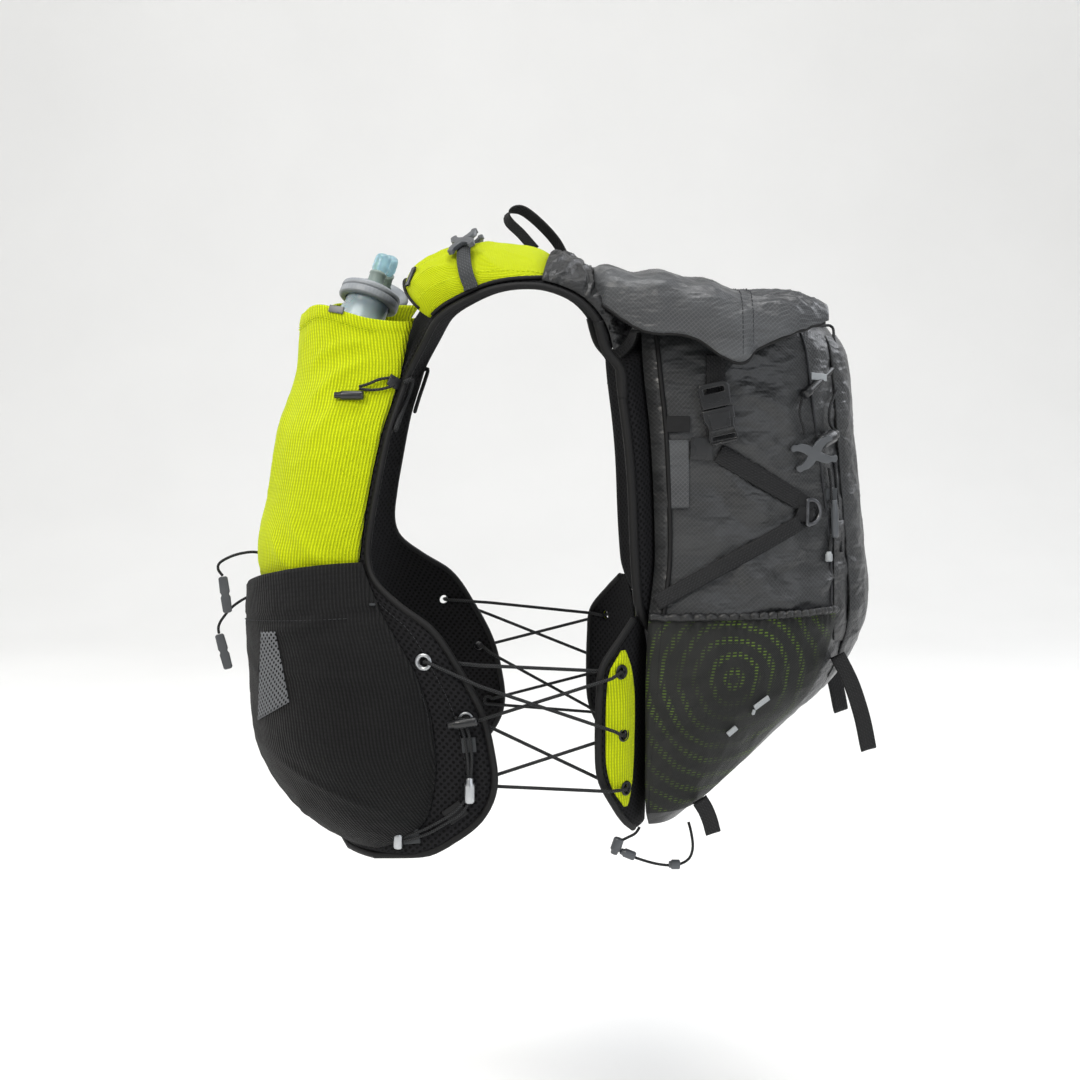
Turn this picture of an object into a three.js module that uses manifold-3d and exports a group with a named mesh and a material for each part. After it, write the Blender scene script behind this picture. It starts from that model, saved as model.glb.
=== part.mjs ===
// Running hydration vest: chest pockets with soft bottles in front, a roll-top bag on the back.
// Millimetres, +Z up, chest towards -Y, bag towards +Y, the wearer's left side at +X.
// The origin lies midway between the shoulders, at the height of the straps' outer edges.
import * as THREE from 'three';
import { mergeVertices } from 'three/addons/utils/BufferGeometryUtils.js';
import Module from 'manifold-3d';

const wasm = await Module();
wasm.setup();

// Body that the vest is cut for
const chest_half_width = 150;
const chest_front_depth = 120;
const chest_back_depth = 112;
const chest_axis_y = -10;
const vest_drop = 384;
const body_squareness = 3;

// Fabric and padding
const clearance = 0.3;
const panel_thickness = 4;
const back_thickness = 8;
const wing_thickness = 2.5;
const lens_thickness = 1.4;
const knit_wall = 1.2;
const pack_wall = 2;
const flap_wall = 2;

// Chest pockets and bottles
const flask_pocket_depth = 60;
const chest_pocket_depth = 62;
const flask_length = 176;
const flask_half_width = 25.5;
const flask_wall = 1;
const cap_diameter = 43;
const cap_height = 11;
const valve_length = 27;
const valve_diameter = 12;
const pouch_depth = 25;

// Bag
const pack_depth = 134;
const rear_pocket_depth = 8;
const lid_half_width = 124;
const lid_length = 160;

// Webbing, hardware and cord
const wide_webbing = 13;
const narrow_webbing = 10;
const webbing_thickness = 1.6;
const buckle_width = 22;
const buckle_length = 42;
const buckle_thickness = 6;
const hook_span = 28;
const hook_thickness = 3.5;
const ring_wire = 3;
const ring_width = 20;
const lace_diameter = 2.4;
const pull_diameter = 2;
const eyelet_bore = 7.4;
const haul_width = 10;
const tail_width = 11;

const up = new THREE.Vector3(0, 0, 1);

// Numbers of a table row at any place between its rows, on one smooth curve
function between(rows, key, at) {
  let i = 0;
  while (i < rows.length - 2 && at > rows[i + 1][key]) i += 1;
  const before = rows[Math.max(i - 1, 0)];
  const low = rows[i];
  const high = rows[i + 1];
  const after = rows[Math.min(i + 2, rows.length - 1)];
  const span = high[key] - low[key];
  const t = THREE.MathUtils.clamp((at - low[key]) / span, 0, 1);
  const value = {};
  for (const column of Object.keys(low)) {
    const slope_low = (high[column] - before[column]) / (high[key] - before[key]) * span;
    const slope_high = (after[column] - low[column]) / (after[key] - low[key]) * span;
    const step = high[column] - low[column];
    const bend = slope_low + slope_high - 2 * step;
    value[column] = low[column] + t * (slope_low + t * (3 * step - 2 * slope_low - slope_high + t * bend));
  }
  return value;
}

// Closed solid from points and faces, with its faces turned outwards
function closedGeometry(points, faces) {
  let volume = 0;
  const cross = new THREE.Vector3();
  for (let i = 0; i < faces.length; i += 3) {
    cross.crossVectors(points[faces[i + 1]], points[faces[i + 2]]);
    volume += points[faces[i]].dot(cross);
  }
  const order = volume < 0 ? faces.slice().reverse() : faces;
  const geometry = new THREE.BufferGeometry().setFromPoints(points);
  geometry.setIndex(order);
  return geometry;
}

// Wall between two grids of points that share rows and columns
function wallSolid(outer, inner) {
  const rows = outer.length;
  const columns = outer[0].length;
  const points = [...outer.flat(), ...inner.flat()];
  const at = (layer, row, column) => (layer * rows + row) * columns + column;
  const faces = [];
  const quad = (a, b, c, d) => faces.push(a, b, c, a, c, d);
  for (let r = 0; r < rows - 1; r += 1) {
    for (let c = 0; c < columns - 1; c += 1) {
      quad(at(0, r, c), at(0, r, c + 1), at(0, r + 1, c + 1), at(0, r + 1, c));
      quad(at(1, r, c), at(1, r + 1, c), at(1, r + 1, c + 1), at(1, r, c + 1));
    }
    quad(at(0, r, 0), at(0, r + 1, 0), at(1, r + 1, 0), at(1, r, 0));
    quad(at(0, r, columns - 1), at(1, r, columns - 1), at(1, r + 1, columns - 1), at(0, r + 1, columns - 1));
  }
  for (let c = 0; c < columns - 1; c += 1) {
    quad(at(0, 0, c), at(1, 0, c), at(1, 0, c + 1), at(0, 0, c + 1));
    quad(at(0, rows - 1, c), at(0, rows - 1, c + 1), at(1, rows - 1, c + 1), at(1, rows - 1, c));
  }
  return closedGeometry(points, faces);
}

// Fan of faces that closes a ring of points at its middle
function ringCap(points, faces, start, count, flip) {
  const middle = new THREE.Vector3();
  for (let c = 0; c < count; c += 1) middle.add(points[start + c]);
  points.push(middle.divideScalar(count));
  const centre = points.length - 1;
  for (let c = 0; c < count; c += 1) {
    const next = start + (c + 1) % count;
    if (flip) faces.push(start + c, centre, next);
    else faces.push(start + c, next, centre);
  }
}

// Solid through closed rings, with both ends closed
function loftSolid(rings) {
  const count = rings[0].length;
  const points = rings.flat().map((point) => point.clone());
  const faces = [];
  for (let r = 0; r < rings.length - 1; r += 1) {
    for (let c = 0; c < count; c += 1) {
      const next = (c + 1) % count;
      const a = r * count + c;
      const b = r * count + next;
      faces.push(a, b, b + count, a, b + count, a + count);
    }
  }
  ringCap(points, faces, 0, count, true);
  ringCap(points, faces, (rings.length - 1) * count, count, false);
  return closedGeometry(points, faces);
}

// Hollow vessel through closed rings from its floor up, open at the last ring
function vesselSolid(outer, inner) {
  const count = outer[0].length;
  const points = [...outer.flat(), ...inner.flat()].map((point) => point.clone());
  const inner_start = outer.length * count;
  const faces = [];
  const walls = (start, rows, flip) => {
    for (let r = 0; r < rows - 1; r += 1) {
      for (let c = 0; c < count; c += 1) {
        const next = (c + 1) % count;
        const a = start + r * count + c;
        const b = start + r * count + next;
        if (flip) faces.push(a, b + count, b, a, a + count, b + count);
        else faces.push(a, b, b + count, a, b + count, a + count);
      }
    }
  };
  walls(0, outer.length, false);
  walls(inner_start, inner.length, true);
  const rim = (outer.length - 1) * count;
  const inner_rim = inner_start + (inner.length - 1) * count;
  for (let c = 0; c < count; c += 1) {
    const next = (c + 1) % count;
    faces.push(rim + c, rim + next, inner_rim + next, rim + c, inner_rim + next, inner_rim + c);
  }
  ringCap(points, faces, 0, count, true);
  ringCap(points, faces, inner_start, count, false);
  return closedGeometry(points, faces);
}

// Flat band along a path of places, each with its point and the way its face looks
function ribbonSolid(path, width, thickness) {
  const rings = path.map((place, i) => {
    const from = path[Math.max(i - 1, 0)].point;
    const to = path[Math.min(i + 1, path.length - 1)].point;
    const along = to.clone().sub(from).normalize();
    const side = along.clone().cross(place.normal).normalize();
    const face = side.clone().cross(along).normalize();
    const corner = (across, rise) => place.point.clone()
      .addScaledVector(side, across * width)
      .addScaledVector(face, rise * thickness);
    return [corner(-0.5, 0), corner(0.5, 0), corner(0.5, 1), corner(-0.5, 1)];
  });
  return loftSolid(rings);
}

// Curve whose steps fall exactly on the points of its list
class RouteCurve extends THREE.Curve {
  constructor(points) {
    super();
    this.points = points;
  }

  getPoint(t, target = new THREE.Vector3()) {
    const place = t * (this.points.length - 1);
    const i = Math.min(Math.floor(place), this.points.length - 2);
    return target.lerpVectors(this.points[i], this.points[i + 1], place - i);
  }

  getPointAt(u, target) {
    return this.getPoint(u, target);
  }

  getTangentAt(u, target = new THREE.Vector3()) {
    const i = Math.round(u * (this.points.length - 1));
    const from = this.points[Math.max(i - 1, 0)];
    const to = this.points[Math.min(i + 1, this.points.length - 1)];
    return target.copy(to).sub(from).normalize();
  }
}

// Round cord through a list of points, which a smooth curve may subdivide first
function cordSolid(points, diameter, steps = 0) {
  const sides = 8;
  const outline = [];
  for (let i = 0; i < sides; i += 1) {
    const turn = (i / sides) * Math.PI * 2;
    outline.push(new THREE.Vector2(Math.cos(turn), Math.sin(turn)).multiplyScalar(diameter / 2));
  }
  const route = steps
    ? new THREE.CatmullRomCurve3(points, false, 'centripetal').getSpacedPoints(steps)
    : points;
  return bareGeometry(new THREE.ExtrudeGeometry(new THREE.Shape(outline), {
    steps: route.length - 1,
    bevelEnabled: false,
    extrudePath: new RouteCurve(route),
  }));
}

// Geometry with only its merged corner points
function bareGeometry(geometry) {
  geometry.deleteAttribute('normal');
  geometry.deleteAttribute('uv');
  return mergeVertices(geometry, 1e-4);
}

// Plate with a given outline, its middle plane at height 0
function plateGeometry(shape, thickness, smoothness = 3) {
  const geometry = new THREE.ExtrudeGeometry(shape, {
    depth: thickness,
    bevelEnabled: false,
    curveSegments: smoothness,
  });
  geometry.translate(0, 0, -thickness / 2);
  return bareGeometry(geometry);
}

function toSolid(geometry) {
  return new wasm.Manifold(new wasm.Mesh({
    numProp: 3,
    vertProperties: new Float32Array(geometry.attributes.position.array),
    triVerts: new Uint32Array(geometry.index.array),
  }));
}

function fromSolid(solid) {
  const mesh = solid.getMesh();
  const geometry = new THREE.BufferGeometry();
  geometry.setAttribute('position', new THREE.Float32BufferAttribute(mesh.vertProperties, 3));
  geometry.setIndex(Array.from(mesh.triVerts));
  return geometry;
}

function cutAway(geometry, tools) {
  return fromSolid(tools.reduce((rest, tool) => rest.subtract(toSolid(tool)), toSolid(geometry)));
}

// Places a geometry with its own X along one direction and its own Z along another
function placed(geometry, point, along, face) {
  const x = along.clone().normalize();
  const z = face.clone().addScaledVector(x, -face.dot(x)).normalize();
  const y = z.clone().cross(x);
  return geometry.clone().applyMatrix4(new THREE.Matrix4().makeBasis(x, y, z).setPosition(point));
}

// The same piece for the wearer's other side
function mirrored(geometry) {
  const copy = geometry.clone().scale(-1, 1, 1);
  copy.setIndex(Array.from(copy.index.array).reverse());
  return copy;
}

// Body form
// Rows run down from the shoulder; widths and depths are shares of the chest's sizes.
const body_rows = [
  { drop: 0, front_width: 0.77, front: 0.42, back_width: 0.87, back: 0.79 },
  { drop: 0.06, front_width: 0.78, front: 0.55, back_width: 0.88, back: 0.87 },
  { drop: 0.15, front_width: 0.81, front: 0.68, back_width: 0.89, back: 0.93 },
  { drop: 0.25, front_width: 0.88, front: 0.87, back_width: 0.92, back: 0.98 },
  { drop: 0.39, front_width: 0.95, front: 0.975, back_width: 0.95, back: 1 },
  { drop: 0.55, front_width: 1, front: 1, back_width: 0.99, back: 1 },
  { drop: 0.78, front_width: 1, front: 1, back_width: 1, back: 0.97 },
  { drop: 1, front_width: 0.97, front: 0.98, back_width: 0.97, back: 0.94 },
];

// Point on the body at a height and an angle from the wearer's left towards the back
function bodyPoint(z, degrees, offset = 0) {
  const row = between(body_rows, 'drop', -z / vest_drop);
  const turn = THREE.MathUtils.degToRad(degrees);
  const behind = Math.sin(turn) > 0;
  const width = chest_half_width * (behind ? row.back_width : row.front_width);
  const depth = behind ? chest_back_depth * row.back : chest_front_depth * row.front;
  const n = body_squareness;
  const across = Math.abs(Math.cos(turn)) / width;
  const deep = Math.abs(Math.sin(turn)) / depth;
  const reach = (across ** n + deep ** n) ** (-1 / n);
  const normal = new THREE.Vector3(
    Math.sign(Math.cos(turn)) * (reach * across) ** (n - 1) / width,
    Math.sign(Math.sin(turn)) * (reach * deep) ** (n - 1) / depth,
    0,
  ).normalize();
  return new THREE.Vector3(reach * Math.cos(turn), chest_axis_y + reach * Math.sin(turn), z)
    .addScaledVector(normal, offset);
}

function bodyNormal(z, degrees) {
  return bodyPoint(z, degrees, 1).sub(bodyPoint(z, degrees, 0)).normalize();
}

// Front panel's edges on the body, from its round bottom up to the foot of the shoulder strap
const front_rows = [
  { drop: 0.997, inner: -47, outer: -34 },
  { drop: 0.985, inner: -54, outer: -21 },
  { drop: 0.955, inner: -62, outer: -12 },
  { drop: 0.915, inner: -68, outer: -5 },
  { drop: 0.86, inner: -71, outer: -1.5 },
  { drop: 0.79, inner: -72, outer: -2.3 },
  { drop: 0.72, inner: -73, outer: -5 },
  { drop: 0.65, inner: -73, outer: -10.2 },
  { drop: 0.58, inner: -73, outer: -17 },
  { drop: 0.54, inner: -72, outer: -25.5 },
  { drop: 0.5, inner: -72, outer: -33 },
  { drop: 0.46, inner: -71, outer: -35.7 },
  { drop: 0.4, inner: -70, outer: -35.5 },
  { drop: 0.33, inner: -68, outer: -34.5 },
  { drop: 0.24, inner: -64, outer: -33.5 },
  { drop: 0.15, inner: -58, outer: -32.3 },
];

// Shoulder strap over the shoulder, from the chest to the back; every number is a share:
// across of the chest's half width, along of the chest's back depth, rise of the vest's drop.
const strap_rows = [
  { place: 0, in_x: 0.34, in_y: -0.72, in_z: -0.106, out_x: 0.685, out_y: -0.59, out_z: -0.12, crown: 2 },
  { place: 1, in_x: 0.35, in_y: -0.62, in_z: -0.058, out_x: 0.7, out_y: -0.53, out_z: -0.085, crown: 2 },
  { place: 2, in_x: 0.36, in_y: -0.46, in_z: 0.005, out_x: 0.74, out_y: -0.445, out_z: -0.044, crown: 2 },
  { place: 3, in_x: 0.36, in_y: -0.27, in_z: 0.044, out_x: 0.76, out_y: -0.3, out_z: -0.016, crown: 2 },
  { place: 4, in_x: 0.36, in_y: -0.09, in_z: 0.065, out_x: 0.767, out_y: -0.13, out_z: 0.005, crown: 2 },
  { place: 5, in_x: 0.36, in_y: 0.09, in_z: 0.07, out_x: 0.767, out_y: 0.045, out_z: 0.012, crown: 2 },
  { place: 6, in_x: 0.367, in_y: 0.27, in_z: 0.053, out_x: 0.76, out_y: 0.21, out_z: 0.007, crown: 2 },
  { place: 7, in_x: 0.38, in_y: 0.46, in_z: 0.017, out_x: 0.75, out_y: 0.38, out_z: -0.015, crown: 2 },
  { place: 8, in_x: 0.387, in_y: 0.62, in_z: -0.008, out_x: 0.747, out_y: 0.5, out_z: -0.055, crown: 2 },
  { place: 9, in_x: 0.387, in_y: 0.69, in_z: -0.06, out_x: 0.747, out_y: 0.555, out_z: -0.108, crown: 2 },
];

function strapSurface(place, across) {
  const row = between(strap_rows, 'place', place);
  const inner = new THREE.Vector3(
    row.in_x * chest_half_width,
    row.in_y * chest_back_depth,
    row.in_z * vest_drop,
  );
  const outer = new THREE.Vector3(
    row.out_x * chest_half_width,
    row.out_y * chest_back_depth,
    row.out_z * vest_drop,
  );
  return inner.lerp(outer, across).addScaledVector(up, row.crown * 4 * across * (1 - across));
}

function strapNormal(place, across) {
  const step = 0.05;
  const along = strapSurface(place + step, across).sub(strapSurface(place - step, across));
  const side = strapSurface(place, across + step).sub(strapSurface(place, across - step));
  return side.cross(along).normalize();
}

function strapPoint(place, across, offset = 0) {
  return strapSurface(place, across).addScaledVector(strapNormal(place, across), offset);
}

const steps = (count, from = 0, to = 1) => Array.from(
  { length: count + 1 },
  (unused, i) => from + (to - from) * i / count,
);

// Eyelets and turning points of the side lacing: angle on the body and share of the drop
const eyelets = {
  front_top: { angle: -18.8, drop: 0.636 },
  front_toggle: { angle: -8.5, drop: 0.736 },
  front_turn: { angle: -6, drop: 0.85 },
  wing_top: { angle: 31.4, drop: 0.662 },
  wing_middle: { angle: 32.4, drop: 0.776 },
  wing_bottom: { angle: 34, drop: 0.876 },
};

function eyeletTool(eyelet) {
  const z = -eyelet.drop * vest_drop;
  const tool = new THREE.CylinderGeometry(eyelet_bore / 2, eyelet_bore / 2, 40, 8);
  tool.rotateZ(-Math.PI / 2);
  return placed(bareGeometry(tool), bodyPoint(z, eyelet.angle), bodyNormal(z, eyelet.angle), up);
}

// Front panel and shoulder strap in one padded piece
function harnessGeometry() {
  const across = [0, 0.3, 0.55, 0.78, 0.9, 1];
  const outer = [];
  const inner = [];
  for (const row of front_rows) {
    const z = -row.drop * vest_drop;
    const angle = (u) => THREE.MathUtils.lerp(row.inner, row.outer, u);
    outer.push(across.map((u) => bodyPoint(z, angle(u), panel_thickness)));
    inner.push(across.map((u) => bodyPoint(z, angle(u), 0)));
  }
  for (const place of steps(10, 1, 9)) {
    outer.push(across.map((u) => strapPoint(place, u, panel_thickness)));
    inner.push(across.map((u) => strapPoint(place, u, 0)));
  }
  const whole = wallSolid(outer, inner);
  return cutAway(whole, [eyeletTool(eyelets.front_top), eyeletTool(eyelets.front_toggle)]);
}

// Padded panel against the back
const back_edge_rows = [
  { drop: 0, edge: 36 },
  { drop: 0.12, edge: 35.5 },
  { drop: 0.3, edge: 37 },
  { drop: 0.52, edge: 38 },
  { drop: 0.575, edge: 42 },
  { drop: 0.61, edge: 48 },
  { drop: 0.8, edge: 49 },
  { drop: 0.93, edge: 52 },
];
const back_drop = 0.925;

function backTop(angle) {
  const strap_end = strap_rows[strap_rows.length - 1];
  const outer_angle = 36;
  const inner_angle = 57;
  const t = THREE.MathUtils.clamp((angle - outer_angle) / (inner_angle - outer_angle), 0, 1);
  return THREE.MathUtils.lerp(strap_end.out_z, strap_end.in_z, t) * vest_drop - 4 * clearance - 2;
}

function backPanelGeometry() {
  const outer = [];
  const inner = [];
  for (const v of steps(10)) {
    const outer_row = [];
    const inner_row = [];
    for (const u of steps(10, -1, 1)) {
      const share = 0.08 + (back_drop - 0.08) * v;
      const spread = 90 - between(back_edge_rows, 'drop', share).edge;
      const angle = 90 - u * spread;
      const from = backTop(Math.min(angle, 180 - angle));
      const z = from + (-back_drop * vest_drop - from) * v;
      outer_row.push(bodyPoint(z, angle, back_thickness));
      inner_row.push(bodyPoint(z, angle, 0));
    }
    outer.push(outer_row);
    inner.push(inner_row);
  }
  return wallSolid(outer, inner);
}

// Wing that comes round the waist, with a round front edge
const wing_rows = [
  { drop: 0.57, front: 38.5, rear: 40 },
  { drop: 0.602, front: 33, rear: 44 },
  { drop: 0.65, front: 26.8, rear: 46.6 },
  { drop: 0.7, front: 25.7, rear: 47 },
  { drop: 0.81, front: 25.6, rear: 48 },
  { drop: 0.855, front: 26.7, rear: 48.5 },
  { drop: 0.896, front: 30.3, rear: 49.5 },
  { drop: 0.94, front: 36, rear: 50.5 },
  { drop: 0.965, front: 42, rear: 50.5 },
];

function wingGeometry() {
  const outer = [];
  const inner = [];
  for (const v of steps(8, 0.57, 0.965)) {
    const row = between(wing_rows, 'drop', v);
    const angle = (u) => THREE.MathUtils.lerp(row.front, row.rear, u);
    outer.push(steps(3).map((u) => bodyPoint(-v * vest_drop, angle(u), wing_thickness)));
    inner.push(steps(3).map((u) => bodyPoint(-v * vest_drop, angle(u), 0)));
  }
  const holes = [eyelets.wing_top, eyelets.wing_middle, eyelets.wing_bottom];
  return cutAway(wallSolid(outer, inner), holes.map(eyeletTool));
}

// Lime stretch panel on the wing, shaped like a lens and slightly puffed
const lens_rows = [
  { drop: 0.625, front: 32, rear: 33.5, puff: 0 },
  { drop: 0.66, front: 28.4, rear: 36, puff: 1 },
  { drop: 0.71, front: 27.4, rear: 37.6, puff: 2 },
  { drop: 0.77, front: 27.3, rear: 38, puff: 2.2 },
  { drop: 0.83, front: 27.8, rear: 38, puff: 1.8 },
  { drop: 0.875, front: 30, rear: 37.6, puff: 0.8 },
  { drop: 0.912, front: 34.5, rear: 36, puff: 0 },
];

function lensGeometry() {
  const outer = [];
  const inner = [];
  const base = wing_thickness + clearance;
  for (const v of steps(7, 0.625, 0.912)) {
    const row = between(lens_rows, 'drop', v);
    const angle = (u) => THREE.MathUtils.lerp(row.front, row.rear, u);
    const rise = (u) => base + row.puff * Math.sin(Math.PI * u) ** 2;
    outer.push(steps(3).map((u) => bodyPoint(-v * vest_drop, angle(u), rise(u) + lens_thickness)));
    inner.push(steps(3).map((u) => bodyPoint(-v * vest_drop, angle(u), rise(u))));
  }
  const holes = [eyelets.wing_top, eyelets.wing_middle, eyelets.wing_bottom];
  return cutAway(wallSolid(outer, inner), holes.map(eyeletTool));
}

// Point on a chest pocket: u runs from its front edge to its side edge, the middle bulges forwards
const pocket_base = panel_thickness + clearance * 4;
const pocket_forward = new THREE.Vector3(0.2, -1, 0).normalize();
const forward_lean = 0.72;

function pocketProfile(u, fullness) {
  return (1 - Math.abs(2 * u - 1) ** fullness) ** (1 / fullness);
}

function pocketPoint(row, drop, u, bulge, trim, fullness) {
  const angle = THREE.MathUtils.lerp(row.inner + trim, row.outer - trim, u);
  const z = (-drop + row.dip * u) * vest_drop;
  const direction = bodyNormal(z, angle).lerp(pocket_forward, forward_lean).normalize();
  const rise = bulge * pocketProfile(u ** 0.72, fullness);
  return bodyPoint(z, angle, pocket_base).addScaledVector(direction, rise);
}

function pocketGeometry(rows, depth, levels, fullness) {
  const across = steps(8).map((u) => 0.5 - 0.5 * Math.cos(Math.PI * u));
  const first = rows[0].drop;
  const last = rows[rows.length - 1].drop;
  const grid = (inset, trim) => steps(levels, first, last).map((drop) => {
    const row = between(rows, 'drop', drop);
    const bulge = Math.max(row.bulge * depth - inset, 0.2);
    return across.map((u) => pocketPoint(row, drop, u, bulge, trim, fullness));
  });
  return wallSolid(grid(0, 0), grid(knit_wall, 0.6));
}

// Lime bottle pocket, open at its top; dip lowers or lifts the side edge against the front edge
const flask_pocket_rows = [
  { drop: 0.02, inner: -72, outer: -32, bulge: 1.27, dip: -0.04 },
  { drop: 0.07, inner: -71, outer: -33, bulge: 1.16, dip: -0.022 },
  { drop: 0.14, inner: -69, outer: -33.6, bulge: 1.03, dip: -0.004 },
  { drop: 0.25, inner: -68, outer: -35, bulge: 0.87, dip: 0 },
  { drop: 0.36, inner: -70, outer: -36.4, bulge: 0.8, dip: 0 },
  { drop: 0.46, inner: -71, outer: -37.4, bulge: 0.85, dip: 0 },
  { drop: 0.52, inner: -71, outer: -38.4, bulge: 0.74, dip: 0 },
  { drop: 0.56, inner: -70, outer: -38.4, bulge: 0.4, dip: 0 },
  { drop: 0.58, inner: -69, outer: -38.6, bulge: 0.06, dip: 0 },
];

// Black ribbed pocket below it, round at the bottom, its mouth rising towards the side
const chest_pocket_rows = [
  { drop: 0.555, inner: -73, outer: -36.5, bulge: 0.93, dip: 0.085 },
  { drop: 0.6, inner: -73.5, outer: -29, bulge: 0.95, dip: 0.04 },
  { drop: 0.65, inner: -74, outer: -22, bulge: 0.93, dip: 0.012 },
  { drop: 0.72, inner: -74, outer: -17.5, bulge: 0.92, dip: 0 },
  { drop: 0.8, inner: -74, outer: -16, bulge: 0.88, dip: 0 },
  { drop: 0.86, inner: -73, outer: -16.5, bulge: 0.74, dip: 0 },
  { drop: 0.92, inner: -70, outer: -19, bulge: 0.5, dip: 0 },
  { drop: 0.96, inner: -64, outer: -25, bulge: 0.25, dip: 0 },
  { drop: 0.98, inner: -57, outer: -32, bulge: 0.05, dip: 0 },
];

// Soft bottle inside the lime pocket, hollow, open at its neck; shares of the room in the pocket
const flask_rows = [
  { rise: 0, wide: 0.3, deep: 0.35, neck: 0 },
  { rise: 0.05, wide: 0.72, deep: 0.7, neck: 0 },
  { rise: 0.16, wide: 0.97, deep: 0.92, neck: 0 },
  { rise: 0.4, wide: 1, deep: 1, neck: 0 },
  { rise: 0.65, wide: 0.98, deep: 0.95, neck: 0 },
  { rise: 0.84, wide: 0.85, deep: 0.72, neck: 0.15 },
  { rise: 0.93, wide: 0.6, deep: 0.6, neck: 1 },
  { rise: 1, wide: 0.5, deep: 0.5, neck: 1 },
];
const flask_foot_drop = 0.455;
const neck_radius = cap_diameter * 0.36;

function flaskCentre(drop) {
  const row = between(flask_pocket_rows, 'drop', drop);
  const middle = (row.inner + row.outer) / 2;
  const direction = bodyNormal(-drop * vest_drop, middle).lerp(pocket_forward, forward_lean).normalize();
  const seat = bodyPoint(-drop * vest_drop, middle, pocket_base);
  return seat.addScaledVector(direction, row.bulge * flask_pocket_depth * 0.49);
}

const flask_top_drop = flask_foot_drop - flask_length / vest_drop;
const flask_axis = flaskCentre(flask_top_drop).sub(flaskCentre(flask_top_drop + 0.16)).normalize();
const flask_facing = new THREE.Vector3(0.5, -1, 0);
const flask_side = flask_axis.clone().cross(new THREE.Vector3(0, 1, 0)).normalize();

function flaskRing(row, inset, lift) {
  const drop = flask_foot_drop - row.rise * flask_length / vest_drop;
  const pocket = between(flask_pocket_rows, 'drop', drop);
  const deep = flask_facing.clone().addScaledVector(flask_axis, -flask_facing.dot(flask_axis)).normalize();
  const wide = flask_axis.clone().cross(deep);
  const straight = flaskCentre(flask_top_drop).addScaledVector(flask_axis, (row.rise - 1) * flask_length);
  const centre = flaskCentre(drop).lerp(straight, row.neck).addScaledVector(flask_axis, lift);
  const room_deep = pocket.bulge * flask_pocket_depth * 0.5 - knit_wall - 5;
  const half_deep = THREE.MathUtils.lerp(row.deep * room_deep, neck_radius, row.neck) - inset;
  const half_wide = THREE.MathUtils.lerp(row.wide * flask_half_width, neck_radius, row.neck) - inset;
  const sides = 10;
  return steps(sides - 1, 0, (sides - 1) / sides).map((u) => {
    const turn = u * Math.PI * 2;
    return centre.clone()
      .addScaledVector(wide, Math.cos(turn) * half_wide)
      .addScaledVector(deep, Math.sin(turn) * half_deep);
  });
}

function flaskGeometry() {
  const outer = flask_rows.map((row) => flaskRing(row, 0, 0));
  const inner = flask_rows.map((row, i) => flaskRing(row, flask_wall, i ? 0 : flask_wall));
  return vesselSolid(outer, inner);
}

// Screw cap over the bottle's neck, with a grooved rim
function capGeometry() {
  const r = cap_diameter / 2;
  const neck = neck_radius + 4 * clearance;
  const h = cap_height;
  const profile = [
    [0, h - 2], [neck, h - 2], [neck, 0], [r - 2, 0], [r, 1.5], [r, h * 0.48],
    [r - 0.8, h * 0.54], [r, h * 0.6], [r, h - 2.5], [r - 3, h], [0, h],
  ].map(([x, y]) => new THREE.Vector2(x, y));
  return upright(new THREE.LatheGeometry(profile, 12));
}

// Drinking valve on the cap, soft, with a waist below its bulb
function valveGeometry() {
  const r = valve_diameter / 2;
  const l = valve_length;
  const profile = [
    [0, 0], [r + 0.6, 0], [r + 0.6, l * 0.1], [r - 0.3, l * 0.16], [r - 0.3, l * 0.42], [r - 1, l * 0.5],
    [r, l * 0.58], [r, l * 0.92], [r - 1, l], [0, l],
  ].map(([x, y]) => new THREE.Vector2(x, y));
  return upright(new THREE.LatheGeometry(profile, 10));
}

// Turns a shape made round the Y axis so that it stands on the XY plane
function upright(geometry) {
  geometry.rotateX(Math.PI / 2);
  return bareGeometry(geometry);
}

const cap_seat = flaskCentre(flask_top_drop).addScaledVector(flask_axis, 2 + clearance - cap_height);
const valve_seat = cap_seat.clone().addScaledVector(flask_axis, cap_height + clearance);

// Lime pouch on the shoulder strap, full at its front end and flat towards the back
const pouch_rows = [
  { place: 1.75, bulge: 0.86, inner: 0.04, outer: 0.9 },
  { place: 2.1, bulge: 1, inner: 0.02, outer: 0.92 },
  { place: 2.8, bulge: 0.9, inner: 0.02, outer: 0.94 },
  { place: 3.6, bulge: 0.62, inner: 0.02, outer: 0.95 },
  { place: 4.6, bulge: 0.3, inner: 0.03, outer: 0.95 },
  { place: 5.3, bulge: 0.2, inner: 0.05, outer: 0.93 },
  { place: 5.8, bulge: 0.05, inner: 0.1, outer: 0.88 },
];

function pouchGeometry() {
  const across = steps(6).map((u) => 0.5 - 0.5 * Math.cos(Math.PI * u));
  const grid = (inset, trim) => steps(8, 1.75, 5.8).map((place) => {
    const row = between(pouch_rows, 'place', place);
    const bulge = Math.max(row.bulge * pouch_depth - inset, 0.2);
    return across.map((u) => strapPoint(
      place,
      THREE.MathUtils.lerp(row.inner + trim, row.outer - trim, u),
      pocket_base + bulge * pocketProfile(u, 2.2),
    ));
  });
  return wallSolid(grid(0, 0), grid(knit_wall, 0.02));
}

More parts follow.
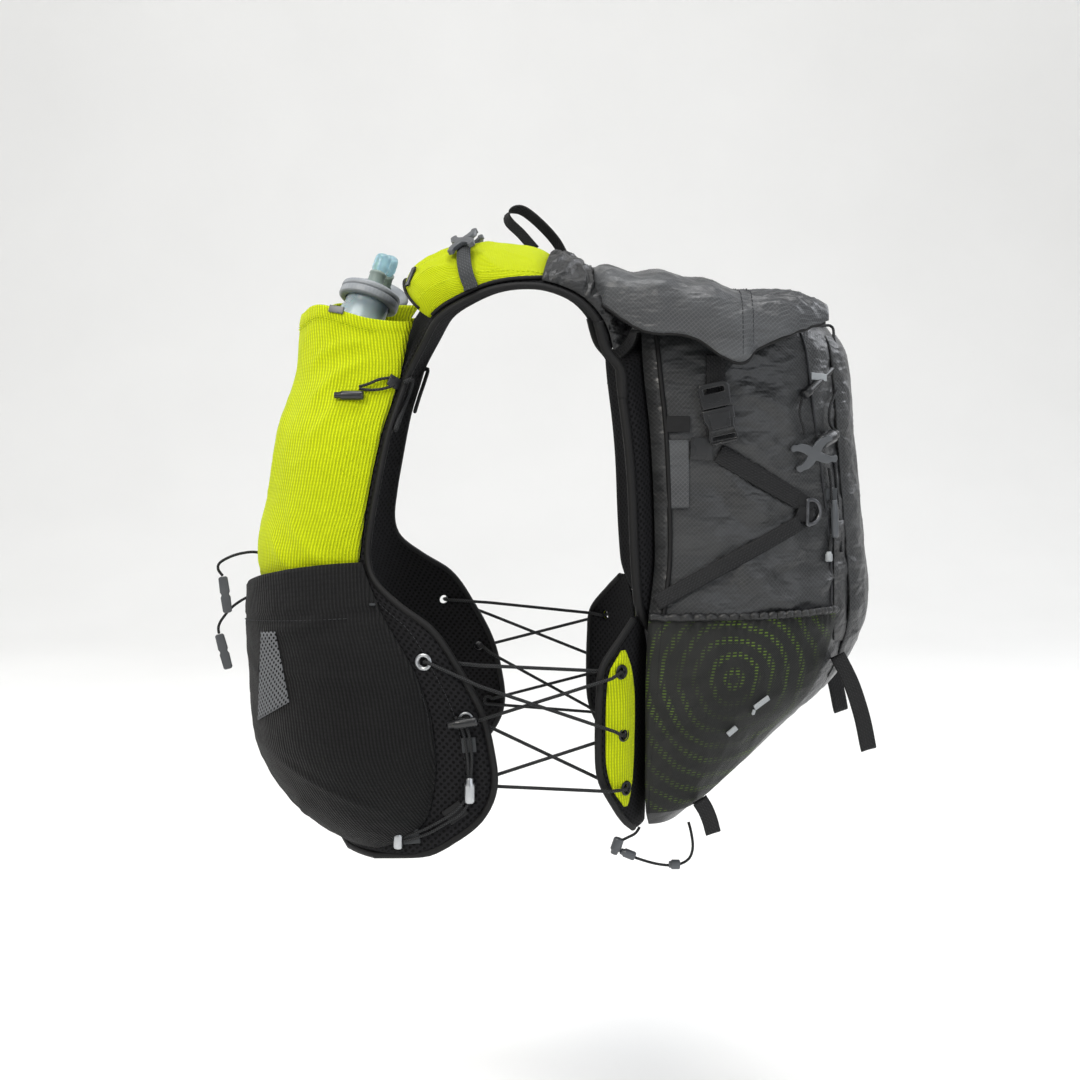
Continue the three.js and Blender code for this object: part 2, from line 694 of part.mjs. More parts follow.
// Bag: its front lies on the back panel, its sides and rear are one rounded sweep.
// corner is the angle of its front corner, reach the share of the bag's depth at its rear.
const pack_rows = [
  { drop: 0.035, corner: 45, reach: 0.76, round: 2.5 },
  { drop: 0.075, corner: 44, reach: 0.86, round: 2.6 },
  { drop: 0.12, corner: 43, reach: 0.89, round: 2.7 },
  { drop: 0.26, corner: 43, reach: 0.92, round: 2.7 },
  { drop: 0.46, corner: 43, reach: 0.98, round: 2.6 },
  { drop: 0.57, corner: 39.5, reach: 1.01, round: 2.5 },
  { drop: 0.65, corner: 38.5, reach: 0.97, round: 2.4 },
  { drop: 0.73, corner: 38.5, reach: 0.85, round: 2.4 },
  { drop: 0.79, corner: 39, reach: 0.66, round: 2.3 },
  { drop: 0.86, corner: 39.5, reach: 0.45, round: 2.2 },
  { drop: 0.93, corner: 41, reach: 0.2, round: 2.1 },
  { drop: 0.955, corner: 43, reach: 0.1, round: 2 },
];
const pack_front_offset = back_thickness + 8 * clearance;
const pack_face_y = chest_axis_y + chest_back_depth + pack_front_offset;

function packCorner(z) {
  const row = between(pack_rows, 'drop', -z / vest_drop);
  const corner = bodyPoint(z, row.corner, pack_front_offset);
  const rear = pack_face_y + row.reach * pack_depth;
  return { corner, rear, round: row.round };
}

// Point on the bag's side at a depth share from its front corner (0) to its rear middle (1)
function packSide(z, share, offset = 0) {
  const turn = share * Math.PI / 2;
  const { corner, rear, round } = packCorner(z);
  const length = rear - corner.y;
  const x = corner.x * Math.cos(turn) ** (2 / round);
  const y = corner.y + length * Math.sin(turn) ** (2 / round);
  const normal = new THREE.Vector3(
    (x / corner.x) ** (round - 1) / corner.x,
    ((y - corner.y) / length) ** (round - 1) / length,
    0,
  ).normalize();
  return new THREE.Vector3(x, y, z).addScaledVector(normal, offset);
}

// The same for a stated depth in millimetres
function packAt(y, z, offset = 0) {
  const { corner, rear, round } = packCorner(z);
  const t = THREE.MathUtils.clamp((y - corner.y) / (rear - corner.y), 0, 1);
  return packSide(z, Math.asin(t ** (round / 2)) * 2 / Math.PI, offset);
}

function packNormal(y, z) {
  const across = packAt(y, z, 1).sub(packAt(y, z, 0));
  const rise = packAt(y, z + 2).sub(packAt(y, z - 2));
  return across.addScaledVector(rise, -across.dot(rise) / rise.lengthSq()).normalize();
}

// Levels and side places that every piece on the bag shares
const pack_levels = [0.955, 0.93, 0.895, 0.86, 0.79, 0.73, 0.65, 0.57, 0.44, 0.28, 0.12, 0.075, 0.035];
const pack_shares = [0, 0.15, 0.3, 0.45, 0.6, 0.72, 0.85, 1];

function packRing(z, inset) {
  const ring = [];
  const corner = between(pack_rows, 'drop', -z / vest_drop).corner;
  for (const share of pack_shares) ring.push(packSide(z, share, -inset));
  for (const share of pack_shares.slice(0, -1).reverse()) {
    const place = packSide(z, share, -inset);
    ring.push(place.setX(-place.x));
  }
  const trim = inset ? 1.2 : 0;
  for (const u of steps(7).slice(1, -1)) {
    const angle = THREE.MathUtils.lerp(180 - corner - trim, corner + trim, u);
    ring.push(bodyPoint(z, angle, pack_front_offset + inset));
  }
  return ring;
}

function packGeometry() {
  const outer = pack_levels.map((drop) => packRing(-drop * vest_drop, 0));
  const floor_drop = pack_levels[0] - pack_wall * 2 / vest_drop;
  const inner = pack_levels.map((drop) => packRing(-Math.min(drop, floor_drop) * vest_drop, pack_wall));
  return vesselSolid(outer, inner);
}

// Raised pocket down the middle of the bag's rear
const rear_pocket_rows = [
  { drop: 0.075, bulge: 0.3 },
  { drop: 0.12, bulge: 0.8 },
  { drop: 0.28, bulge: 1 },
  { drop: 0.57, bulge: 1 },
  { drop: 0.65, bulge: 0.7 },
  { drop: 0.73, bulge: 0.1 },
];
const rear_pocket_edge = 0.72;

function rearPocketGeometry() {
  const half = pack_shares.filter((share) => share >= rear_pocket_edge);
  const levels = pack_levels.filter((drop) => drop >= 0.075 && drop <= 0.73);
  const grid = (inset) => levels.map((drop) => {
    const bulge = Math.max(between(rear_pocket_rows, 'drop', drop).bulge * rear_pocket_depth - inset, 0.2);
    const place = (share) => {
      const u = (1 - share) / (1 - rear_pocket_edge);
      return packSide(-drop * vest_drop, share, 2 * clearance + bulge * (1 - u ** 4));
    };
    const left = half.map(place);
    const right = half.slice(0, -1).reverse().map(place).map((corner) => corner.setX(-corner.x));
    return [...left, ...right];
  });
  return wallSolid(grid(0), grid(knit_wall));
}

// Dark mesh pocket round the bag's lower side, from the lens panel to the rear
const mesh_puff = 3;

function meshPocketGeometry() {
  const shares = pack_shares.filter((share) => share <= 0.6);
  const levels = pack_levels.filter((drop) => drop >= 0.57 && drop <= 0.93);
  const grid = (inset) => levels.map((drop) => shares.map((share) => {
    const swell = Math.sin(Math.PI * share / 0.6) * Math.sin(Math.PI * (0.97 - drop) / 0.42);
    return packSide(-drop * vest_drop, share, 2 * clearance + knit_wall + mesh_puff * swell - inset);
  }));
  return wallSolid(grid(0), grid(knit_wall));
}

// Rolled lid over the bag's mouth, drooping at both sides and gathered into its rear
const lid_rows = [
  { along: 0, width: 0.83, top: 0.05, edge: -0.01, thick: 2 },
  { along: 0.05, width: 0.92, top: 0.05, edge: -0.022, thick: 3 },
  { along: 0.2, width: 1, top: 0.043, edge: -0.06, thick: 6 },
  { along: 0.42, width: 1.02, top: 0.042, edge: -0.07, thick: 7 },
  { along: 0.55, width: 1.03, top: 0.038, edge: -0.1, thick: 8 },
  { along: 0.63, width: 1.02, top: 0.03, edge: -0.106, thick: 7 },
  { along: 0.68, width: 0.99, top: 0.027, edge: -0.085, thick: 6 },
  { along: 0.85, width: 0.93, top: 0.012, edge: -0.062, thick: 6 },
  { along: 1, width: 0.8, top: -0.014, edge: -0.045, thick: 5 },
];
const lid_front_y = 54;

function lidGeometry() {
  const grid = (under) => steps(9).map((along) => {
    const row = between(lid_rows, 'along', along);
    const width = row.width * lid_half_width - (under ? flap_wall : 0);
    return steps(10, -1, 1).map((u) => {
      const turn = u * 0.5 * Math.PI;
      const x = width * Math.sign(u) * Math.abs(Math.sin(turn)) ** 0.75;
      const fall = Math.abs(u) ** 5;
      const sink = under ? THREE.MathUtils.lerp(row.thick, 0, fall) : 0;
      const z = THREE.MathUtils.lerp(row.top, row.edge, fall) * vest_drop - sink;
      return new THREE.Vector3(x, lid_front_y + along * lid_length, z);
    });
  });
  return wallSolid(grid(false), grid(true));
}

// Gathered fabric behind the neck
function yokeGeometry() {
  const half = strap_rows[6].in_x * chest_half_width - 4 * clearance;
  const neck = 0.11 * chest_back_depth;
  const rear = lid_front_y - 2;
  const grid = (drop) => steps(4).map((v) => steps(6, -1, 1).map((u) => {
    const y = THREE.MathUtils.lerp(neck - 14 * u * u, rear, v);
    const z = THREE.MathUtils.lerp(31 - 4 * u * u, 13, v) + 2 * Math.sin(Math.PI * v);
    return new THREE.Vector3(u * half, y, z - drop);
  }));
  return wallSolid(grid(0), grid(flap_wall));
}

// Webbing on the bag's side from one place to another, each given as depth and drop
function sideStrapGeometry(from, to, width, rise, count = 8) {
  const path = steps(count).map((u) => {
    const y = THREE.MathUtils.lerp(from.y, to.y, u);
    const z = -THREE.MathUtils.lerp(from.drop, to.drop, u) * vest_drop;
    return { point: packAt(y, z, rise), normal: packNormal(y, z) };
  });
  return ribbonSolid(path, width, webbing_thickness);
}

const buckle_seat = { y: 137, drop: 0.2 };
const ring_seat = { y: 200, drop: 0.39 };

// Side-release buckle, fastened: the socket half and the prong half that it holds
function buckleBodyGeometry() {
  const w = buckle_width / 2;
  const l = buckle_length * 0.58;
  const shape = new THREE.Shape();
  shape.moveTo(-w, 0);
  shape.lineTo(-w, l * 0.3);
  shape.quadraticCurveTo(-w + 3.5, l * 0.5, -w + 1, l * 0.8);
  shape.lineTo(-w + 3, l);
  shape.lineTo(w - 3, l);
  shape.lineTo(w - 1, l * 0.8);
  shape.quadraticCurveTo(w - 3.5, l * 0.5, w, l * 0.3);
  shape.lineTo(w, 0);
  shape.closePath();
  const slot = new THREE.Path();
  slot.moveTo(-w + 3, 3);
  slot.lineTo(w - 3, 3);
  slot.lineTo(w - 3, 6);
  slot.lineTo(-w + 3, 6);
  slot.closePath();
  shape.holes.push(slot);
  return plateGeometry(shape, buckle_thickness);
}

function buckleProngGeometry() {
  const w = buckle_width / 2;
  const l = buckle_length * 0.42 - clearance;
  const shape = new THREE.Shape();
  shape.moveTo(-w + 1, 0);
  shape.lineTo(-w, l - 4);
  shape.lineTo(-w + 2, l);
  shape.lineTo(w - 2, l);
  shape.lineTo(w, l - 4);
  shape.lineTo(w - 1, 0);
  shape.closePath();
  const slot = new THREE.Path();
  slot.moveTo(-w + 4, l - 7);
  slot.lineTo(w - 4, l - 7);
  slot.lineTo(w - 4, l - 3.5);
  slot.lineTo(-w + 4, l - 3.5);
  slot.closePath();
  shape.holes.push(slot);
  return plateGeometry(shape, buckle_thickness * 0.8);
}

// Pole hook with four bent prongs round a middle plate
function hookGeometry() {
  const half = hook_span / 2;
  const prong = hook_span * 0.11;
  const waist = hook_span * 0.15;
  const corners = [];
  for (let i = 0; i < 4; i += 1) {
    const turn = Math.PI / 4 + i * Math.PI / 2;
    const out = new THREE.Vector2(Math.cos(turn), Math.sin(turn));
    const side = new THREE.Vector2(-out.y, out.x);
    const curl = i % 2 ? 0.25 : -0.25;
    const tip = out.clone().multiplyScalar(half).addScaledVector(side, curl * half);
    const root = out.clone().multiplyScalar(half * 0.55);
    corners.push(root.clone().addScaledVector(side, -prong));
    corners.push(tip.clone().addScaledVector(side, -prong));
    corners.push(tip.clone().addScaledVector(out, prong * 0.7));
    corners.push(tip.clone().addScaledVector(side, prong));
    corners.push(root.clone().addScaledVector(side, prong));
    const next = turn + Math.PI / 4;
    corners.push(new THREE.Vector2(Math.cos(next), Math.sin(next)).multiplyScalar(waist));
  }
  return plateGeometry(new THREE.Shape(corners), hook_thickness);
}

// Wire ring shaped like a D
function ringGeometry() {
  const half = ring_width / 2;
  const shape = new THREE.Shape();
  shape.moveTo(-half, 0);
  shape.lineTo(half, 0);
  shape.lineTo(half, half * 0.4);
  shape.absarc(0, half * 0.4, half, 0, Math.PI, false);
  shape.closePath();
  const inner = half - ring_wire;
  const hole = new THREE.Path();
  hole.moveTo(-inner, ring_wire);
  hole.lineTo(inner, ring_wire);
  hole.lineTo(inner, half * 0.4);
  hole.absarc(0, half * 0.4, inner, 0, Math.PI, false);
  hole.closePath();
  shape.holes.push(hole);
  return plateGeometry(shape, ring_wire, 4);
}

// Loops of webbing: points in the plane that they stand in, and their flat side's direction
function loopGeometry(points, width, facing) {
  const curve = new THREE.CatmullRomCurve3(points, false, 'centripetal');
  const count = Math.round(points.length * 1.6);
  const path = steps(count).map((u) => {
    const along = curve.getTangentAt(u);
    return { point: curve.getPointAt(u), normal: along.clone().cross(facing).normalize() };
  });
  return ribbonSolid(path, width, webbing_thickness);
}

const point = (x, y, z) => new THREE.Vector3(x, y, z);

// Haul loop behind the neck, bent forwards, its feet on the yoke
const haul_points = [
  point(0, 35, 25.2), point(0, 28, 38), point(0, 16, 51), point(0, 4, 60), point(0, -4, 59),
  point(0, -5, 53), point(0, 4, 44), point(0, 14, 32.6),
];

// Folded loop that hangs from the bag, its two legs side by side across the vest
function hangingLoop(share, drop, reach, fall, rise, spread) {
  const top = packSide(-drop * vest_drop, share, rise);
  const place = (side, outward, down) => top.clone().add(point(side * spread, outward * reach, -down * fall));
  return [
    place(0.5, 0, 0), place(0.5, 0.45, 0.3), place(0.5, 0.8, 0.65), place(0.5, 1, 0.95), place(0, 1.02, 1),
    place(-0.5, 1, 0.95), place(-0.5, 0.8, 0.65), place(-0.5, 0.45, 0.3), place(-0.5, 0, 0),
  ];
}

// Lacing: runs between the eyelets, outside or inside the panels.
// Each place is an eyelet with an offset from the body; a lift bows a run away from the other runs.
const lace_out = lace_diameter / 2 + 3 * clearance;
const lace_front_out = panel_thickness + lace_out;
const lace_wing_out = wing_thickness + clearance + lens_thickness + lace_out + 1.6;

function lacePoint(eyelet, offset, turn = 0) {
  return bodyPoint(-eyelet.drop * vest_drop, eyelet.angle + turn, offset);
}

function laceRun(from, to, from_offset, to_offset, lift) {
  const front_edge = -5;
  const wing_edge = 27.5;
  const share = (angle) => (angle - from.angle) / (to.angle - from.angle);
  const forward = to.angle > from.angle;
  const places = forward ? [front_edge, wing_edge] : [wing_edge, front_edge];
  return places.map((angle, i) => {
    const t = THREE.MathUtils.clamp(share(angle), 0.04, 0.96);
    const z = -THREE.MathUtils.lerp(from.drop, to.drop, t) * vest_drop;
    const offset = (i ? to_offset : from_offset) + lift;
    return bodyPoint(z, THREE.MathUtils.lerp(from.angle, to.angle, t), offset);
  });
}

function laceThrough(eyelet, from_offset, to_offset, turn) {
  const inward = Math.sign(to_offset - from_offset);
  return [
    lacePoint(eyelet, from_offset, turn),
    lacePoint(eyelet, from_offset + inward * 0.9, turn * 0.2),
    lacePoint(eyelet, to_offset - inward * 0.9, turn * 0.2),
    lacePoint(eyelet, to_offset, turn),
  ];
}

function lacingGeometry() {
  const e = eyelets;
  const inside = -lace_out;
  const toggle_end = lacePoint(e.front_toggle, lace_front_out + 2.5, 3.2);
  const turn_low = { angle: e.front_turn.angle, drop: e.front_turn.drop + 0.008 };
  const turn_high = { angle: e.front_turn.angle, drop: e.front_turn.drop - 0.008 };
  const points = [
    toggle_end,
    ...laceRun(e.front_toggle, e.wing_top, lace_front_out, lace_wing_out, 1).slice(1),
    ...laceThrough(e.wing_top, lace_wing_out, inside, -1.2),
    ...laceRun(e.wing_top, e.front_top, inside, inside, 0),
    ...laceThrough(e.front_top, inside, lace_front_out, 1.2),
    ...laceRun(e.front_top, e.wing_middle, lace_front_out, lace_wing_out, 5),
    ...laceThrough(e.wing_middle, lace_wing_out, inside, -1.2),
    ...laceRun(e.wing_middle, e.front_turn, inside, inside, 0),
    lacePoint(turn_high, inside, 0.6),
    lacePoint(turn_high, inside, -0.3),
    lacePoint(e.front_turn, inside, -1),
    lacePoint(turn_low, inside, -0.3),
    lacePoint(turn_low, inside, 0.6),
    ...laceRun(turn_low, e.wing_bottom, inside, lace_wing_out, 0),
    ...laceThrough(e.wing_bottom, lace_wing_out, inside, -1.2),
    ...laceRun(e.wing_bottom, e.front_toggle, inside, inside, -5),
    ...laceThrough(e.front_toggle, inside, lace_front_out, 1.2).slice(0, 3),
  ];
  return cordSolid(points, lace_diameter);
}

// Free cords, each a list of chosen points
const front_upper_points = [
  point(58, -177, -182.6), point(59, -187, -181), point(61, -199, -183), point(61, -209, -188),
  point(60, -211, -193), point(59, -208, -198),
];
const front_lower_points = [
  point(48, -178.9, -213), point(48, -190, -214), point(48, -202, -221), point(49, -210, -230),
  point(49, -213, -236), point(48, -213, -241),
];
const bottom_points = [
  point(94, 87, -371.4), point(94, 84, -376), point(93, 77, -380), point(92, 71, -384), point(90, 74, -390),
  point(90, 86, -395), point(90, 100, -399), point(89, 113, -400), point(88, 122, -396), point(87, 125, -388),
  point(86, 124, -378), point(85, 122, -370),
];

// Flat pull tab on a cord's end, its top at a point
const tab_length = 26;
const tab_width = 7;
const tab_thickness = 2.4;

function tabGeometry(top, lean) {
  const box = bareGeometry(new THREE.BoxGeometry(tab_length, tab_width, tab_thickness));
  const along = point(0, lean, -1).normalize();
  const centre = top.clone().addScaledVector(along, tab_length / 2 + 2 * clearance);
  return placed(box, centre, along, across_body);
}

// Round barrel, waisted at one end
const barrel_length = 20;
const barrel_diameter = 6.4;

function barrelGeometry(centre, along) {
  const r = barrel_diameter / 2;
  const l = barrel_length;
  const profile = [[0, 0], [r * 0.7, 0], [r * 0.7, l * 0.2], [r, l * 0.28], [r, l * 0.96], [r * 0.8, l], [0, l]]
    .map(([x, y]) => new THREE.Vector2(x, y));
  const geometry = bareGeometry(new THREE.LatheGeometry(profile, 8).translate(0, -l / 2, 0));
  const face = along.clone().cross(up).normalize();
  return placed(geometry, centre, along.clone().cross(face).negate(), face);
}

const across_body = point(1, 0, 0);

const group = new THREE.Group();

function finish(color, roughness, metalness = 0) {
  return new THREE.MeshStandardMaterial({ color, roughness, metalness, side: THREE.FrontSide });
}

const finishes = {
  mesh: () => finish(0x1a1a1c, 0.9),
  lime: () => finish(0xc9dc00, 0.8),
  ribbed: () => finish(0x141416, 0.85),
  ripstop: () => finish(0x2e2f31, 0.5),
  dark_mesh: () => finish(0x1c241d, 0.8),
  webbing: () => finish(0x1f2022, 0.8),
  grey_webbing: () => finish(0x45474a, 0.8),
  buckle: () => finish(0x2a2b2d, 0.3),
  grey_plastic: () => finish(0x5f6265, 0.4),
  wire: () => finish(0x3c3d40, 0.35, 0.6),
  cap: () => finish(0x8b9096, 0.45),
  bottle: () => finish(0xb4c4cc, 0.2),
  valve: () => finish(0xa9c7c9, 0.25),
  cord: () => finish(0x2b2c2e, 0.8),
};

function add(parent, name, geometry, slot) {
  const mesh = new THREE.Mesh(geometry, finishes[slot]());
  mesh.name = name;
  parent.add(mesh);
}

function addPair(parent, name, geometry, slot) {
  add(parent, `${name}_left`, geometry, slot);
  add(parent, `${name}_right`, mirrored(geometry), slot);
}

const vest = new THREE.Group();
const chest = new THREE.Group();
const bag = new THREE.Group();
group.add(vest, chest, bag);

add(vest, 'back_panel', backPanelGeometry(), 'mesh');
addPair(vest, 'harness', harnessGeometry(), 'mesh');
addPair(vest, 'side_wing', wingGeometry(), 'mesh');
addPair(vest, 'lens_panel', lensGeometry(), 'lime');
addPair(vest, 'lacing', lacingGeometry(), 'cord');

addPair(chest, 'flask_pocket', pocketGeometry(flask_pocket_rows, flask_pocket_depth, 10, 2.3), 'lime');
addPair(chest, 'chest_pocket', pocketGeometry(chest_pocket_rows, chest_pocket_depth, 10, 2.6), 'ribbed');
addPair(chest, 'flask_body', flaskGeometry(), 'bottle');
addPair(chest, 'flask_cap', placed(capGeometry(), cap_seat, flask_side, flask_axis), 'cap');
addPair(chest, 'bite_valve', placed(valveGeometry(), valve_seat, flask_side, flask_axis), 'valve');
addPair(chest, 'shoulder_pouch', pouchGeometry(), 'lime');

add(bag, 'pack_body', packGeometry(), 'ripstop');
add(bag, 'rear_pocket', rearPocketGeometry(), 'ripstop');
addPair(bag, 'mesh_pocket', meshPocketGeometry(), 'dark_mesh');
add(bag, 'roll_top', lidGeometry(), 'ripstop');
add(bag, 'neck_yoke', yokeGeometry(), 'ripstop');

const web_rise = 1;
addPair(bag, 'upper_strap', sideStrapGeometry(
  { y: 139, drop: 0.28 },
  { y: ring_seat.y - 4, drop: ring_seat.drop - 0.022 },
  wide_webbing,
  web_rise,
), 'webbing');
addPair(bag, 'lower_strap', sideStrapGeometry(
  { y: 96, drop: 0.545 },
  { y: ring_seat.y - 4, drop: ring_seat.drop + 0.018 },
  wide_webbing * 0.85,
  web_rise + 2 * clearance,
), 'webbing');

function onBag(seat, rise, geometry, along) {
  const z = -seat.drop * vest_drop;
  return placed(geometry, packAt(seat.y, z, rise), along, packNormal(seat.y, z));
}

const buckle_along = point(0, 1, 0.22);
const buckle_rise = web_rise + webbing_thickness + buckle_thickness / 2 + 5 * clearance;
addPair(bag, 'buckle_body', onBag(buckle_seat, buckle_rise, buckleBodyGeometry().rotateZ(Math.PI), buckle_along), 'buckle');
addPair(bag, 'buckle_prong', onBag(
  { y: buckle_seat.y, drop: buckle_seat.drop - 2 * clearance / vest_drop },
  buckle_rise,
  buckleProngGeometry(),
  buckle_along,
), 'buckle');
addPair(bag, 'd_ring', onBag(ring_seat, ring_wire / 2 + 3 * clearance, ringGeometry(), point(0, 0, -1)), 'wire');
addPair(bag, 'rear_hook', onBag({ y: 201, drop: 0.283 }, hook_thickness / 2 + 7.5, hookGeometry(), point(0, 1, 0.3)), 'grey_plastic');

const hook_place = 3.4;
const pouch_rise = pocket_base + between(pouch_rows, 'place', hook_place).bulge * pouch_depth;
const webbing_path = steps(6, 0.3, 1).map((across) => {
  const bulge = pocketProfile(THREE.MathUtils.clamp((across - 0.02) / 0.93, 0, 1), 2.2);
  const rise = pocket_base + (pouch_rise - pocket_base) * bulge + 9 * clearance;
  return { point: strapPoint(hook_place, across, rise), normal: strapNormal(hook_place, across) };
});
addPair(vest, 'shoulder_webbing', ribbonSolid(webbing_path, narrow_webbing, webbing_thickness), 'grey_webbing');
addPair(vest, 'shoulder_hook', placed(
  hookGeometry(),
  strapPoint(hook_place, 0.5, pouch_rise + webbing_thickness + hook_thickness / 2 + 10 * clearance),
  strapPoint(hook_place, 1).sub(strapPoint(hook_place, 0)),
  strapNormal(hook_place, 0.5),
), 'grey_plastic');

add(bag, 'haul_loop', loopGeometry(haul_points, haul_width, point(0.75, 0.43, 0.5).normalize()), 'webbing');
const loop_facing = point(0.1, 0.93, 0.35).normalize();
addPair(bag, 'tail_loop', loopGeometry(hangingLoop(0.66, 0.66, 22, 66, 5.2, 5), tail_width, loop_facing), 'webbing');
addPair(bag, 'pole_loop', loopGeometry(hangingLoop(0.38, 0.915, 9, 22, 7.3, 5), tail_width, loop_facing), 'webbing');

addPair(bag, 'lid_strap', sideStrapGeometry(
  { y: buckle_seat.y, drop: 0.106 },
  { y: buckle_seat.y, drop: 0.25 },
  wide_webbing,
  web_rise,
), 'webbing');

const bungee_path = [0.29, 0.33, 0.38, 0.43, 0.47].map((drop) => packSide(-drop * vest_drop, 0.67, pull_diameter / 2 + clearance));
addPair(bag, 'rear_bungee', cordSolid(bungee_path, pull_diameter, 8), 'cord');

const toggle_end = lacePoint(eyelets.front_toggle, lace_front_out + 2.5, 3.2);
const toggle_along = lacePoint(eyelets.front_toggle, lace_front_out + 2.5, -4).sub(toggle_end).setZ(-3).normalize();
const toggle_centre = toggle_end.clone()
  .addScaledVector(toggle_along, barrel_length / 2 + 2 * clearance)
  .addScaledVector(across_body, 1.5);
addPair(vest, 'lace_toggle', barrelGeometry(toggle_centre, toggle_along), 'buckle');

const chest_row = between(flask_pocket_rows, 'drop', 0.175);
const chest_knit = flask_pocket_depth * chest_row.bulge;
const chest_near = pocketPoint(chest_row, 0.175, 0.965, chest_knit, 0, 2.3);
const chest_far = pocketPoint(chest_row, 0.175, 0.905, chest_knit, 0, 2.3);
const chest_along = chest_near.clone().sub(chest_far).normalize();
const chest_face = chest_along.clone().cross(up).negate();
add(chest, 'chest_toggle', barrelGeometry(
  chest_near.clone().lerp(chest_far, 0.5).addScaledVector(chest_face, -barrel_diameter / 2 - 3 * clearance),
  chest_along,
), 'buckle');
add(chest, 'pull_tab_upper', tabGeometry(front_upper_points[5], 0.12), 'grey_plastic');
add(chest, 'pull_tab_lower', tabGeometry(front_lower_points[5], 0.25), 'grey_plastic');

add(chest, 'front_cord_upper', cordSolid(front_upper_points, pull_diameter, 12), 'cord');
add(chest, 'front_cord_lower', cordSolid(front_lower_points, pull_diameter, 12), 'cord');
add(bag, 'bottom_cord', cordSolid(bottom_points, pull_diameter, 22), 'cord');

export default group;
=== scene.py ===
# Running hydration vest: soft pieces, hardware and cords built over the fixed frame.
# Lengths are in millimetres while a piece is shaped, and in metres once it is a mesh.
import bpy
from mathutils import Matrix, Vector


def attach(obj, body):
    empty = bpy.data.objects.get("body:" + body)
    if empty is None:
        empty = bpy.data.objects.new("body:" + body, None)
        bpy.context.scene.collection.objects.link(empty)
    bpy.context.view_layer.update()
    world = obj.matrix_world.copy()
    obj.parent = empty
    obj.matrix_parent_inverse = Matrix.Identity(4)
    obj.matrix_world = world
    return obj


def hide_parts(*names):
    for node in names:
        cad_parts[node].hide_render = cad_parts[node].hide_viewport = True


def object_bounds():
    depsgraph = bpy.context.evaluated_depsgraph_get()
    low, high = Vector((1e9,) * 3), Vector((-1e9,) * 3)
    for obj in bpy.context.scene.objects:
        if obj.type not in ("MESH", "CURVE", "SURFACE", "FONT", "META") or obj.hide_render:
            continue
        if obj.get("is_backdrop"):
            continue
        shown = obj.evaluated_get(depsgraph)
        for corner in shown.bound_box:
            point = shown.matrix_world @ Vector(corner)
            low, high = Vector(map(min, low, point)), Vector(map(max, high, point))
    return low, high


bl_info = {
    "name": "Running Hydration Vest",
    "version": (1, 0, 0),
    "blender": (4, 5, 0),
    "location": "3D View > Sidebar > Vest",
    "description": "Builds a running vest with soft bottles, chest pockets and a roll-top bag",
    "category": "Add Mesh",
}

from bisect import bisect_right
from itertools import accumulate
from math import asin, copysign, cos, exp, hypot, pi, radians, sin, sqrt

import bmesh
import bpy
from mathutils import Matrix, Vector, noise

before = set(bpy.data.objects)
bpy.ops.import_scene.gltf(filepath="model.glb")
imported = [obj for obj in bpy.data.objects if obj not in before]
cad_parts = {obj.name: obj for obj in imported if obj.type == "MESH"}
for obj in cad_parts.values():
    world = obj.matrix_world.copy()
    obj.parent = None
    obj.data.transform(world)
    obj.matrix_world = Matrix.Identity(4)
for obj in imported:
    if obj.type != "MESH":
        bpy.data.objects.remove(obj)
cad_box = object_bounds()

MM = 0.001
UP = Vector((0, 0, 1))
ACROSS = Vector((1, 0, 0))

# Body that the vest is cut for
CHEST_HALF_WIDTH = 150
CHEST_FRONT_DEPTH = 120
CHEST_BACK_DEPTH = 112
CHEST_AXIS_Y = -10
VEST_DROP = 384
BODY_SQUARENESS = 3

# Cloth
CLEARANCE = 0.3
PANEL = 4
BACK_PANEL = 8
WING = 2.5
LENS = 1.4
KNIT = 1.2
POCKET_BASE = PANEL + 4 * CLEARANCE
POCKET_FORWARD = Vector((0.2, -1, 0)).normalized()
FORWARD_LEAN = 0.72
FLASK_POCKET_DEPTH = 60
CHEST_POCKET_DEPTH = 62
POUCH_DEPTH = 25
PACK_DEPTH = 134
REAR_POCKET_DEPTH = 8
PACK_FRONT = BACK_PANEL + 8 * CLEARANCE
PACK_FACE_Y = CHEST_AXIS_Y + CHEST_BACK_DEPTH + PACK_FRONT
LID_HALF_WIDTH = 124
LID_LENGTH = 160
LID_FRONT_Y = 54
WEBBING = 1.6
EYELET_BORE = 3.6
STITCH_LENGTH = 2.4
STITCH_GAP = 1
THREAD = 0.55

# drop, front width, front depth, back width, back depth
BODY = (
    (0, 0.77, 0.42, 0.87, 0.79), (0.06, 0.78, 0.55, 0.88, 0.87), (0.15, 0.81, 0.68, 0.89, 0.93),
    (0.25, 0.88, 0.87, 0.92, 0.98), (0.39, 0.95, 0.975, 0.95, 1), (0.55, 1, 1, 0.99, 1),
    (0.78, 1, 1, 1, 0.97), (1, 0.97, 0.98, 0.97, 0.94),
)
# drop, inner edge's angle, outer edge's angle
FRONT = (
    (0.15, -58, -32.3), (0.24, -64, -33.5), (0.33, -68, -34.5), (0.4, -70, -35.5), (0.46, -71, -35.7),
    (0.5, -72, -33), (0.54, -72, -25.5), (0.58, -73, -17), (0.65, -73, -10.2), (0.72, -73, -5),
    (0.79, -72, -2.3), (0.86, -71, -1.5), (0.915, -68, -5), (0.955, -62, -12), (0.985, -54, -21),
    (0.997, -47, -34),
)
